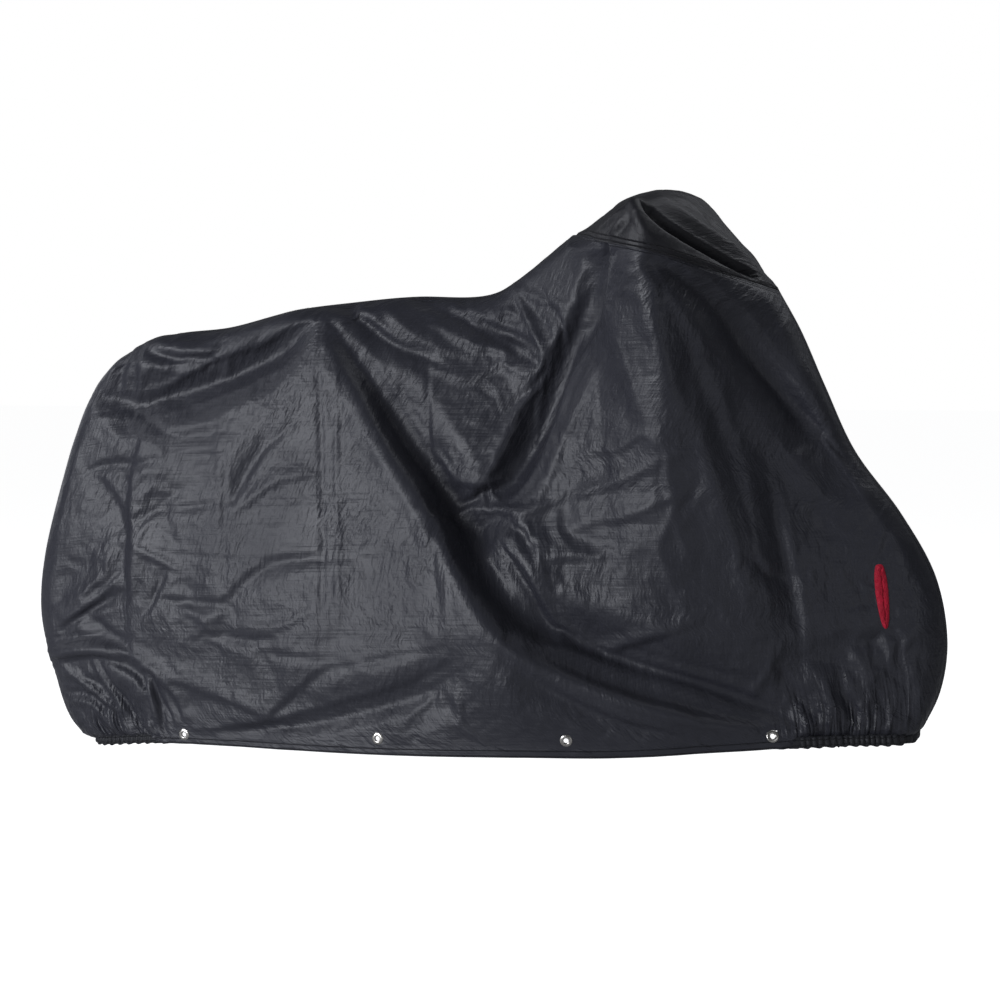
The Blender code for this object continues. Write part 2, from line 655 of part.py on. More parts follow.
def eyelet(side, number, station, parent):
    """Two-part metal eyelet: a barrel through the cloth with a flange on each face."""
    centre, normal = eyelet_frame(side, *station)
    under = CLOTH / 2.0 + EYELET_CLEAR
    over = under + EYELET_METAL
    profile = [(EYELET_HOLE, over), (EYELET_FLANGE, over), (EYELET_FLANGE, under),
               (EYELET_BARREL, under), (EYELET_BARREL, -under), (EYELET_FLANGE, -under),
               (EYELET_FLANGE, -over), (EYELET_HOLE, -over)]
    thing = make_object(f"{side.name}_eyelet_{number}", ring_mesh(profile, EYELET_STEPS), NICKEL,
                        parent)
    thing.location = centre
    thing.rotation_mode = "QUATERNION"
    thing.rotation_quaternion = normal.to_track_quat("Z", "Y")
    return thing


def eyelet_cutter(side, parent):
    """Four round cutters for the eyelet holes of one strip."""
    mesh = bmesh.new()
    for station in EYELET_STATIONS:
        centre, normal = eyelet_frame(side, *station)
        turn = normal.to_track_quat("Z", "Y").to_matrix().to_4x4()
        bmesh.ops.create_cone(mesh, cap_ends=True, segments=EYELET_STEPS,
                              radius1=EYELET_BARREL + EYELET_CLEAR,
                              radius2=EYELET_BARREL + EYELET_CLEAR, depth=6.0 * CLOTH,
                              matrix=Matrix.Translation(centre) @ turn)
    return make_object(f"{side.name}_eyelet_cutter", mesh, HEM_BLACK, parent)


def spindle(width, height, power, steps, spread=0.0):
    """Side-view points of a leaning spindle round the lock slot, widened all round by spread."""
    points = []
    for step in range(steps):
        angle = 2.0 * math.pi * step / steps
        c, s = math.cos(angle), math.sin(angle)
        across = math.copysign(abs(c) ** power, c) * width / 2.0 + spread * c
        along_it = math.copysign(abs(s) ** 0.9, s) * height / 2.0 + spread * s
        x = across * math.cos(SLOT_LEAN) - along_it * math.sin(SLOT_LEAN)
        z = across * math.sin(SLOT_LEAN) + along_it * math.cos(SLOT_LEAN)
        points.append((SLOT_CENTRE[0] + x, SLOT_CENTRE[1] + z))
    return points


def half_width_at(side, x, z):
    """Distance from the centre plane to the outer face of the cloth at a side-view place."""
    u, t = place_on_side(x, z)
    return abs(side_surface(side, np.array([u]), np.array([t]))[0, 1])


def lock_slot_binding(side, parent):
    """Red binding round the lock slot, a flat ring that follows the cloth."""
    shapes = [spindle(SLOT_WIDTH, SLOT_HEIGHT, 0.9, SLOT_STEPS),
              spindle(SLOT_WIDTH * 0.8, SLOT_HEIGHT * 0.965, 0.9, SLOT_STEPS),
              spindle(SLIT_WIDTH, SLIT_HEIGHT, 1.4, SLOT_STEPS)]
    prouds = (0.0, SLOT_PROUD, SLOT_PROUD)
    outer, inner = [], []
    for shape, proud in zip(shapes, prouds):
        halves = [half_width_at(side, x, z) for x, z in shape]
        outer.append([(x, side.sign * (half + proud), z) for (x, z), half in zip(shape, halves)])
        inner.append([(x, side.sign * (half - CLOTH), z) for (x, z), half in zip(shape, halves)])
    mesh = closed_sheet(np.array(outer), np.array(inner), wrap=True)
    return make_object(f"{side.name}_lock_slot_binding", mesh, SLOT_RED, parent)


def lock_slot_cutter(side, parent):
    """Cutter for the place of the lock-slot binding in a side panel."""
    shape = spindle(SLOT_WIDTH, SLOT_HEIGHT, 0.9, SLOT_STEPS, spread=SEAM_GAP)
    outer = [[(x, side.sign * y, z) for x, z in shape] for y in (0.010, 0.200)]
    mesh = bmesh.new()
    low, high = [[mesh.verts.new(point) for point in row] for row in outer]
    mesh.faces.new(low)
    mesh.faces.new(high[::-1])
    for i in range(len(low)):
        j = (i + 1) % len(low)
        mesh.faces.new((low[i], high[i], high[j], low[j]))
    bmesh.ops.recalc_face_normals(mesh, faces=mesh.faces)
    return make_object(f"{side.name}_lock_slot_cutter", mesh, SLOT_RED, parent)


def gathered_hem(name, far_end, parent):
    """Gathered elastic hem that runs from the right side round the end to the left side.

    far_end is the u of the end that it wraps round: 0 for the rear and 1 for the front.
    """
    start = u_at_hem(REAR_ELASTIC_END if far_end == 0 else FRONT_ELASTIC_END)
    reach = abs(start - far_end)
    steps = round(reach * side_length() / PUCKER_PITCH * PUCKER_STEPS)
    bend = np.linspace(0.0, 1.0, steps + 1)
    bend = bend + 0.5 * bend * (1.0 - bend)
    u = start + (far_end - start) * np.clip(bend, 0.0, 1.0)
    wave = np.cos(np.pi * np.arange(len(u)) * 2.0 / PUCKER_STEPS)
    wave = wave * (0.75 + 0.25 * np.sin(1.7 * np.arange(len(u))))
    rising = np.clip(np.arange(len(u)) / PUCKER_STEPS, 0.0, 1.0)
    outer, inner = [], []
    for rise, bulge, pucker in TUNNEL_ROWS:
        halves = []
        for side in (RIGHT, LEFT):
            t = rise / side_height(u)
            points, _, normals = skins(side, u, t)
            full = TUNNEL_BULGE * bulge * rising
            pucker_push = PUCKER_DEPTH * pucker * wave * rising
            out = points + normals * (full + pucker_push)[:, None]
            under = points - normals * (CLOTH + full - pucker_push)[:, None]
            halves.append((keep_to_side(side, out), keep_to_side(side, under)))
        outer.append(join_halves(halves[0][0], halves[1][0]))
        inner.append(join_halves(halves[0][1], halves[1][1]))
    edges = [follow_edge(side, 0, u, -SEAM_DROP) for side in (RIGHT, LEFT)]
    outer.append(join_halves(edges[0][0], edges[1][0]))
    inner.append(join_halves(edges[0][1], edges[1][1]))
    outer = straighten_ends(np.array(outer))
    inner = straighten_ends(np.array(inner))
    return make_object(name, closed_sheet(outer, inner), HEM_BLACK, parent)


def straighten_ends(rows):
    """Make the two end columns straight, as the ends of the hem strips beside them are."""
    last = len(TUNNEL_ROWS)
    for row, (rise, _, _) in enumerate(TUNNEL_ROWS):
        share = rise / STRIP_HEIGHT
        for column in (0, -1):
            rows[row, column] = rows[0, column] * (1.0 - share) + rows[last, column] * share
    return rows


def join_halves(right, left):
    """One row of points from the right side round the end to the left, on one end point."""
    end = (right[-1] + left[-1]) / 2.0
    return np.concatenate((right[:-1], [end], left[:-1][::-1]))


def cap_surface(s, a):
    """Point of the cap's outer face: s runs from rear to front, a from right (-1) to left (1)."""
    seam = cap_seam_at(s)
    weights = spline_weights([c.x for c in CAP_SECTIONS], seam[:, 0])
    crown, shoulder, square = (weights @ np.array([c[1:] for c in CAP_SECTIONS])).T
    to_front = (1.0 - s) * (1.0 - cap_share()) * side_length()
    half = seam[:, 1] * rounded(to_front, NOSE_ROUND)
    angle = a * math.pi / 2.0
    across = np.sign(a) * abs(np.sin(angle)) ** (2.0 / square)
    rise = abs(np.cos(angle)) ** (2.0 / square)
    top = crown + (shoulder - crown) * across**2
    y = half * across
    z = seam[:, 2] + cap_lift(s) + (top - seam[:, 2]) * rise
    x = seam[:, 0] + HANDLEBAR_TURN * y * turn_share(seam)
    push = sum(fold_offset(fold, np.stack([x, z], axis=1)) for fold in CAP_FOLDS) * rise
    calm = np.clip(1.0 - a**4, 0.0, 1.0) * np.clip((top - seam[:, 2]) / 0.05, 0.0, 1.0)
    lean = np.where(a < 0.0, np.clip(-a * 2.0, 0.0, 1.0), 0.7 * np.clip(a * 2.0, 0.0, 1.0))
    push = push * calm * lean
    return np.stack([x, y + np.sign(a) * push, z + 0.1 * push], axis=1)


def cap_lift(s):
    """Upright space between the cap and the panels' edge, a little more at the rear tip."""
    return SEAM_DROP * (1.0 + 1.2 * np.clip(1.0 - s / 0.15, 0.0, 1.0))


def turn_share(seam):
    """Share of the handlebar's turn that the cap follows at rows of x, half-width and z."""
    return np.clip(seam[:, 1] / width_at_top(seam[:, 0]), 0.0, 1.0)


def handlebar_cap(parent):
    """Cap over the handlebar, from its seam on the right, over the top, to that on the left."""
    split = cap_share()
    columns = panel_columns(RIGHT)
    inside = (columns[columns > split + 1e-6] - split) / (1.0 - split)
    s = np.concatenate(([CAP_TIP], inside[inside < 1.0 - CAP_TIP], [1.0 - CAP_TIP]))
    u = split + (1.0 - split) * s
    edges = {side.sign: follow_edge(side, 1, u, cap_lift(s)) for side in (RIGHT, LEFT)}
    outer, inner = [], []
    for a in np.linspace(-1.0, 1.0, CAP_ROWS):
        rim_outer, rim_inner = edges[math.copysign(1.0, a)]
        if abs(a) == 1.0:
            outer.append(rim_outer)
            inner.append(rim_inner)
            continue
        points = cap_surface(s, np.full(len(s), a))
        free = min((1.0 - abs(a)) / CAP_RIM_SHARE, 1.0)
        rim_normals = (rim_outer - rim_inner) / CLOTH
        normals = cap_normals(s, np.full(len(s), a)) * free + rim_normals * (1.0 - free)
        normals /= np.linalg.norm(normals, axis=1, keepdims=True)
        outer.append(points)
        inner.append(points - normals * CLOTH)
    mesh = closed_sheet(np.array(outer), np.array(inner))
    return make_object("handlebar_cap", mesh, CLOTH_BLACK, parent)


def main():
    """Build the whole cover."""
    for thing in list(bpy.data.objects):
        bpy.data.objects.remove(thing)
    cover = bpy.data.objects.new("cover", None)
    cover.location = [-value for value in REST_POINT]
    bpy.context.scene.collection.objects.link(cover)
    for side in (RIGHT, LEFT):
        panel = side_panel(side, cover)
        cut(panel, lock_slot_cutter(side, cover))
        lock_slot_binding(side, cover)
        strip = hem_strip(side, cover)
        cut(strip, eyelet_cutter(side, cover))
        for number, station in enumerate(EYELET_STATIONS, start=1):
            eyelet(side, number, station, cover)
    handlebar_cap(cover)
    gathered_hem("rear_gathered_hem", 0, cover)
    gathered_hem("front_gathered_hem", 1, cover)
    bpy.context.view_layer.update()


main()
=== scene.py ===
"""Dressing of a fitted bicycle cover: sewn coated cloth, elastic hems, eyelets and lock slots.

The tables are in metres, measured from the ground under the middle of the bicycle: x runs
forward, y to the left and z up. Everything is then moved so that the point where the
handlebar stem carries the cover is the origin, as in the solids.
"""

from __future__ import annotations

import logging
import math
from collections.abc import Callable, Sequence
from dataclasses import dataclass, field, replace
from enum import Enum
from typing import NamedTuple

import bmesh
import bpy
import numpy as np
from bpy.types import ID, Material, Mesh, Node, NodeOutputs, NodeSocket, NodeTree, Object
from mathutils import Matrix, Vector
from mathutils.bvhtree import BVHTree

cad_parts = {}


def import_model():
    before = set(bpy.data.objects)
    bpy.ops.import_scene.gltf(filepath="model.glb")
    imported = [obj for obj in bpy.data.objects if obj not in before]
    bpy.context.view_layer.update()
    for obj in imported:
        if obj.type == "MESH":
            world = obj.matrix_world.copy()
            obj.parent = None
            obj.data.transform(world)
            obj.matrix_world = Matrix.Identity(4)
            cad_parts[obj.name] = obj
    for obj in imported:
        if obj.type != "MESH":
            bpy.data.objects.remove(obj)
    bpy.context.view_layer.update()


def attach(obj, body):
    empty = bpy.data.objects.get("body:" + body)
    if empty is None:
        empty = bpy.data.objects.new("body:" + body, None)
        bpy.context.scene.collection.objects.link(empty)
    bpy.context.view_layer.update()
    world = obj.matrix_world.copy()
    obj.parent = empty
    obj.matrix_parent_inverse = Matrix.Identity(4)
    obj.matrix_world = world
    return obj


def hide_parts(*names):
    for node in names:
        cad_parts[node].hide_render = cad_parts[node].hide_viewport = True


Array = np.ndarray
Socket = NodeSocket
Colour = tuple[float, float, float]

LOG = logging.getLogger("bicycle_cover")

REST_POINT = np.array((0.380, 0.0, 1.163))
BODY = "root"
MILLIMETRES = 1000     # in a metre
TENTHS = 10            # in a whole


class Place(NamedTuple):
    """Place in the side view."""

    x: float
    z: float


class CapSeam(NamedTuple):
    """Point of the seam between a side panel and the handlebar cap."""

    x: float
    half_width: float
    z: float


class CapSection(NamedTuple):
    """Cross-section of the cap: its top on the centre line and over the grips."""

    x: float
    crown: float
    shoulder: float
    square: float


class Section(NamedTuple):
    """Half-width of the cover at five heights between hem and top, for an x."""

    x: float
    hem: float
    low: float
    middle: float
    high: float
    top: float


class SideName(Enum):
    """The two sides of the cover, each with the sign of its y."""

    RIGHT = -1.0
    LEFT = 1.0

    @property
    def label(self) -> str:
        """Name of the side as the solids spell it."""
        return self.name.lower()


class End(Enum):
    """The two gathered ends of the cover.

    Each has the fraction u at which it wraps round, the x at which its elastic starts, and the
    seeds of its pleats and of its puckers.
    """

    REAR = (0.0, -0.600, 5, 17)
    FRONT = (1.0, 0.608, 9, 29)

    def __init__(self, u: float, start_x: float, pleat_seed: int, pucker_seed: int) -> None:
        """Name the values of the member."""
        self.u, self.start_x = u, start_x
        self.pleat_seed, self.pucker_seed = pleat_seed, pucker_seed

    @property
    def label(self) -> str:
        """Name of the end as the solids spell it."""
        return self.name.lower()


# --- outlines and widths

REAR_OUTLINE = [Place(*row) for row in (
    (-0.772, 0.096), (-0.831, 0.142), (-0.868, 0.240), (-0.893, 0.345), (-0.886, 0.450),
    (-0.851, 0.585), (-0.811, 0.701), (-0.764, 0.802), (-0.696, 0.875),
)]
FRONT_OUTLINE = [Place(*row) for row in (
    (0.833, 0.174), (0.866, 0.262), (0.877, 0.360), (0.860, 0.468), (0.797, 0.582), (0.712, 0.697),
    (0.655, 0.818), (0.612, 0.915), (0.572, 0.987),
)]
SPINE = [Place(*row) for row in (
    (-0.696, 0.875), (-0.600, 0.911), (-0.480, 0.925), (-0.345, 0.957), (-0.230, 0.971),
    (-0.110, 0.981), (0.010, 0.980), (0.065, 0.995), (0.197, 1.092),
)]
HEM = [Place(*row) for row in (
    (-0.772, 0.096), (-0.600, 0.118), (-0.392, 0.128), (-0.142, 0.138), (0.105, 0.150),
    (0.299, 0.155), (0.500, 0.168), (0.640, 0.174), (0.833, 0.174),
)]
CAP_SEAM = [CapSeam(*row) for row in (
    (0.197, 0.000, 1.092), (0.232, 0.062, 1.087), (0.265, 0.135, 1.078), (0.304, 0.212, 1.068),
    (0.348, 0.268, 1.058), (0.396, 0.284, 1.047), (0.444, 0.252, 1.033), (0.488, 0.190, 1.017),
    (0.530, 0.110, 1.001), (0.574, 0.000, 0.985),
)]
CAP_SECTIONS = [CapSection(*row) for row in (
    (0.197, 1.093, 1.093, 2.0), (0.240, 1.116, 1.106, 2.4), (0.300, 1.142, 1.124, 3.0),
    (0.350, 1.158, 1.140, 4.0), (0.385, 1.166, 1.138, 4.0), (0.425, 1.156, 1.112, 3.0),
    (0.470, 1.106, 1.074, 2.4), (0.520, 1.048, 1.028, 2.1), (0.574, 0.986, 0.986, 2.0),
)]
SECTIONS = [Section(*row) for row in (
    (-0.90, 0.040, 0.055, 0.055, 0.045, 0.050), (-0.70, 0.080, 0.095, 0.092, 0.082, 0.062),
    (-0.50, 0.128, 0.132, 0.118, 0.100, 0.070), (-0.26, 0.178, 0.175, 0.140, 0.112, 0.088),
    (-0.05, 0.212, 0.205, 0.145, 0.092, 0.050), (0.10, 0.222, 0.215, 0.145, 0.092, 0.055),
    (0.20, 0.215, 0.192, 0.145, 0.122, 0.100), (0.27, 0.205, 0.185, 0.168, 0.160, 0.165),
    (0.32, 0.197, 0.190, 0.194, 0.206, 0.240), (0.39, 0.185, 0.192, 0.214, 0.246, 0.284),
    (0.45, 0.172, 0.178, 0.196, 0.218, 0.248), (0.53, 0.155, 0.150, 0.150, 0.150, 0.130),
    (0.60, 0.135, 0.125, 0.118, 0.104, 0.070), (0.70, 0.105, 0.095, 0.088, 0.070, 0.055),
    (0.90, 0.050, 0.058, 0.055, 0.045, 0.040),
)]
SECTION_RISE = (0.0, 0.27, 0.52, 0.76, 1.0)
NOSE_ROUND = 0.055
TOP_ROUND = 0.042
HANDLEBAR_TURN = 0.115     # how far the handlebar is turned, for each metre of half-width
LEAST_WIDTH = 0.02
# x and height above the hem of each eyelet
EYELET_STATIONS = [(-0.527, 0.025), (-0.121, 0.037), (0.222, 0.037), (0.575, 0.025)]
SLOT_CENTRE = Place(0.765, 0.441)
SLOT_LEAN = math.radians(7.0)


# --- smooth curves and tables

def unit(vectors: Array) -> Array:
    """The same directions with a length of 1."""
    return vectors / np.maximum(np.linalg.norm(vectors, axis=-1, keepdims=True), 1e-12)


def run_lengths(points: Array, axis: int) -> Array:
    """Distance of each point along its line of the grid, from the first point of the line."""
    steps = np.linalg.norm(np.diff(points, axis=axis), axis=-1)
    return np.insert(np.cumsum(steps, axis=axis), 0, 0.0, axis=axis)


def between(at: Array, knots: Array, rows: Array) -> Array:
    """Rows of numbers at places between knots, straight from each knot to the next."""
    return np.stack([np.interp(at, knots, column) for column in rows.T], axis=1)


def spline_weights(knots: Sequence[float], at: Array) -> Array:
    """Weights that blend values at knots into smooth values.

    Args:
        knots: Places of the known values, rising.
        at: Places of the values that are wanted.

    Returns:
        One row of weights for each wanted place.
    """
    knots = np.asarray(knots, float)
    at = np.clip(np.asarray(at, float), knots[0], knots[-1])
    count = len(knots)
    slopes = np.zeros((count, count))
    for i in range(count):
        before, after = max(i - 1, 0), min(i + 1, count - 1)
        slopes[i, after] += 1.0 / (knots[after] - knots[before])
        slopes[i, before] -= 1.0 / (knots[after] - knots[before])
    cell = np.clip(np.searchsorted(knots, at, side="right") - 1, 0, count - 2)
    length = knots[cell + 1] - knots[cell]
    t = ((at - knots[cell]) / length)[:, None]
    values = np.eye(count)
    return ((2 * t**3 - 3 * t**2 + 1) * values[cell]
            + (t**3 - 2 * t**2 + t) * length[:, None] * slopes[cell]
            + (3 * t**2 - 2 * t**3) * values[cell + 1]
            + (t**3 - t**2) * length[:, None] * slopes[cell + 1])


def along(points: Sequence[Sequence[float]], fractions: Array) -> Array:
    """Points on the smooth curve through given points.

    Args:
        points: Points that the curve passes.
        fractions: Fractions of the curve's length.

    Returns:
        One point for each fraction.
    """
    points = np.asarray(points, float)
    knots = run_lengths(points, 0)
    fractions = np.atleast_1d(np.asarray(fractions, float))
    return spline_weights(knots / knots[-1], fractions) @ points


def rounded(depth: Array, reach: float) -> Array:
    """Quarter-round rise from 0 at an edge to 1 at the given reach from it."""
    q = 1.0 - np.clip(depth / reach, 0.0, 1.0)
    return np.sqrt(np.clip(1.0 - q * q, 0.0, 1.0))


def smooth(low: float, high: float, value: Array) -> Array:
    """Smooth step from 0 at low to 1 at high."""
    q = np.clip((value - low) / (high - low), 0.0, 1.0)
    return q * q * (3.0 - 2.0 * q)


# --- folds and crumples

FOLD_POINTS = 33      # points along the line of a fold
TIP_ROUND = 0.003     # roundness of a pressed crease
TAPER = 0.25          # share of a fold's line over which it rises or dies away


@dataclass(frozen=True)
class Fold:
    """Ridge (depth above 0) or trough (below 0) along a line in the side view.

    The reaches are how far it spreads to the left and to the right of its line, walking from
    its first point to its last. Crisp runs from 0, a soft wave, to 1, a pressed crease. Start
    and end are its strength at the two ends of the line, as shares.
    """

    depth: float
    left: float
    right: float
    crisp: float
    start: float
    end: float
    line: Array

    def faceted(self) -> Fold:
        """The same fold with a broad facet on its lee side and a narrow one on the other."""
        run = self.line[-1] - self.line[0]
        lee_on_left = (run[0] - run[1] > 0.0) == (self.depth > 0.0)
        wide, tight = 1.8, 0.8
        return replace(self, left=self.left * (wide if lee_on_left else tight),
                       right=self.right * (tight if lee_on_left else wide))

    def offset(self, places: Array) -> Array:
        """Outward offset of the cloth.

        Args:
            places: Side-view places, one row each.

        Returns:
            One offset for each place.
        """
        line = along(self.line, np.linspace(0.0, 1.0, FOLD_POINTS))
        reach = max(self.left, self.right)
        inside = (places > line.min(axis=0) - reach) & (places < line.max(axis=0) + reach)
        near = inside.all(axis=1)
        offsets = np.zeros(len(places))
        if near.any():
            offsets[near] = self.height(places[near], line)
        return offsets

    def height(self, places: Array, line: Array) -> Array:
        """Offset at places near the fold.

        Args:
            places: Side-view places within the fold's reach.
            line: Points along the fold.

        Returns:
            One offset for each place.
        """
        starts = line[:-1]
        runs = line[1:] - starts
        lengths = (runs**2).sum(axis=1)
        relative = places[:, None, :] - starts[None, :, :]
        share = np.clip((relative * runs).sum(axis=2) / lengths, 0.0, 1.0)
        away = relative - share[:, :, None] * runs
        distance = np.sqrt((away**2).sum(axis=2))
        nearest = distance.argmin(axis=1)
        index = np.arange(len(places))
        distance = distance[index, nearest]
        run = runs[nearest]
        offset = relative[index, nearest]
        on_left = run[:, 0] * offset[:, 1] - run[:, 1] * offset[:, 0] > 0.0
        fraction = (nearest + share[index, nearest]) / len(runs)
        q = np.clip(distance / np.where(on_left, self.left, self.right), 0.0, 1.0)
        soft = 0.5 + 0.5 * np.cos(np.pi * q)
        sharp = (1.0 - np.sqrt(q * q + TIP_ROUND) / math.sqrt(1.0 + TIP_ROUND)) ** 2
        sharp = sharp / (1.0 - math.sqrt(TIP_ROUND)) ** 2
        height = self.crisp * sharp * (q < 1.0) + (1.0 - self.crisp) * soft
        rise = np.clip(fraction / TAPER, 0.0, 1.0)
        fall = np.clip((1.0 - fraction) / TAPER, 0.0, 1.0)
        strength = (self.start + (1 - self.start) * rise) * (self.end + (1 - self.end) * fall)
        return self.depth * height * strength


def folds(*rows: Sequence[float]) -> list[Fold]:
    """Folds from rows of numbers.

    Args:
        *rows: Depth, left and right reach in millimetres, crispness, strength at the start and
            at the end in tenths, then x and z in millimetres of each point of the line.

    Returns:
        One fold for each row.
    """
    made = []
    for depth, left, right, crisp, start, end, *line in rows:
        made.append(Fold(depth / MILLIMETRES, left / MILLIMETRES, right / MILLIMETRES,
                         crisp / TENTHS, start / TENTHS, end / TENTHS,
                         np.reshape(line, (-1, 2)) / MILLIMETRES))
    return made


@dataclass(frozen=True)
class Facets:
    """Field of small flat facets with creases between them, as packed cloth keeps.

    The corners of the facets lie on a slanting net that soft waves bend.
    """

    cell: float
    stretch: float
    lean: float
    depth: float
    seed: int

    def offset(self, places: Array) -> Array:
        """Outward offset at each place, straight between the corners of warped triangles."""
        rng = np.random.default_rng(self.seed)
        net = 64
        heights = rng.uniform(-1.0, 1.0, (net, net))
        phases = rng.uniform(0.0, 2.0 * math.pi, 8)
        bend = 0.33
        c, s = math.cos(self.lean), math.sin(self.lean)
        a = (places[:, 0] * c + places[:, 1] * s) / (self.cell * self.stretch)
        b = (places[:, 1] * c - places[:, 0] * s) / self.cell
        warp_a = np.sin(1.9 * b + phases[0]) + 0.6 * np.sin(3.1 * a + 1.3 * b + phases[1])
        warp_b = np.sin(1.7 * a + phases[2]) + 0.6 * np.sin(2.3 * b - 1.9 * a + phases[3])
        a = a + bend * warp_a
        b = b + bend * warp_b
        skew = (a + b) * (math.sqrt(3.0) - 1.0) / 2.0
        p, q = a + skew, b + skew
        i, j = np.floor(p).astype(int), np.floor(q).astype(int)
        fp, fq = p - i, q - j
        here = i % net, j % net
        after = (i + 1) % net, (j + 1) % net
        first, last = heights[here], heights[after]
        middle = np.where(fp > fq, heights[after[0], here[1]], heights[here[0], after[1]])
        high, low = np.maximum(fp, fq), np.minimum(fp, fq)
        return self.depth * ((1.0 - high) * first + (high - low) * middle + low * last)


class CrumpleZone(NamedTuple):
    """Round zone in which the facets stand stronger than elsewhere."""

    x: float
    z: float
    reach_x: float
    reach_z: float
    share: float


@dataclass(frozen=True)
class Gather:
    """Pleats that rise from an elastic hem, uneven in pitch, height and lean."""

    length: float
    pitch: float
    depth: float
    rise: float
    seed: int
    fan: float = 0.62         # how much more the last pleat leans than the first
    widening: float = 1.1     # how much wider a pleat gets to its top
    edge: float = 1.6         # sharpness across a pleat
    fade: float = 1.3         # sharpness up it

    def offset(self, distance: Array, height: Array) -> Array:
        """Outward offset of the cloth.

        Args:
            distance: Distance along the hem from the end that the elastic wraps round.
            height: Height above the hem.

        Returns:
            One offset for each point.
        """
        rng = np.random.default_rng(self.seed)
        offsets = np.zeros(len(distance))
        place = -self.pitch * 0.5
        while place < self.length:
            rise = self.rise * rng.uniform(0.35, 1.5)
            width = self.pitch * rng.uniform(0.42, 0.75)
            depth = self.depth * rng.uniform(0.5, 1.2)
            fan = self.fan * min(max(place / self.length, 0.0), 1.0)
            lean = rng.uniform(-0.15, 0.15) + fan
            spread = width * (1.0 + self.widening * np.clip(height / rise, 0.0, 1.0))
            q = np.clip(abs(distance - place - lean * height) / spread, 0.0, 1.0)
            fade = np.clip(1.0 - height / rise, 0.0, 1.0) ** self.fade
            offsets += depth * ((1.0 - q) ** self.edge) * fade
            place += self.pitch * rng.uniform(0.7, 1.35)
        ends = 1.0 - smooth(self.length * 0.75, self.length * 1.05, distance)
        return offsets * ends


MAIN_FOLDS_RIGHT = folds(
    (26, 70, 160, 3.2, 2.5, 3.5, -250, 930, -160, 745, -30, 540, 75, 390, 160, 315, 300, 255, 470,
     215, 610, 190),
    (-36, 85, 62, 3.2, 3, 3.5, -235, 900, -85, 705, 30, 545, 115, 430, 200, 372, 330, 322, 470,
     285, 600, 245),
    (-34, 60, 60, 2, 5, 5, 285, 1050, 255, 935, 205, 845, 150, 735, 105, 630, 40, 545),
    (-20, 65, 90, 0, 3, 8, -290, 935, -385, 858, -470, 815, -560, 785, -665, 765),
    (12, 45, 55, 0, 4, 6, -320, 948, -450, 895, -570, 862, -700, 842),
    (16, 40, 60, 2, 6, 4, -860, 268, -745, 283, -640, 235, -570, 160),
    (9, 40, 40, 2, 2, 6, -835, 350, -740, 430, -690, 520),
    (3, 60, 60, 1, 8, 5, 345, 1060, 375, 850, 405, 640, 410, 520),
    (-20, 50, 50, 2, 9, 5, 425, 1030, 520, 900, 610, 760, 700, 640),
    (20, 70, 150, 2, 3, 5, 515, 720, 535, 600, 560, 480, 575, 365),
    (-10, 50, 55, 2, 4, 3, -420, 150, -300, 205, -120, 250, 40, 330),
    (4, 60, 60, 5, 5, 5, -465, 760, -470, 560, -478, 360),
)
MAIN_FOLDS_LEFT = folds(
    (22, 70, 55, 5, 2.5, 3.5, -250, 930, -165, 700, -90, 520, 30, 400, 240, 285, 520, 215),
    (-26, 65, 55, 5, 3, 3.5, -220, 880, -80, 660, 40, 490, 220, 380, 500, 290),
    (-20, 45, 45, 5, 5, 6, 290, 1050, 240, 880, 150, 720, 60, 570),
    (-28, 50, 40, 5, 3, 8, -300, 930, -460, 835, -650, 780),
    (15, 35, 50, 4, 4, 6, -330, 945, -520, 872, -700, 842),
    (-14, 50, 50, 5, 9, 5, 440, 1020, 560, 860, 680, 660),
    (-12, 50, 40, 5, 5, 5, 560, 620, 600, 460, 610, 330),
    (12, 35, 55, 5, 6, 4, -860, 290, -735, 300, -590, 190),
)
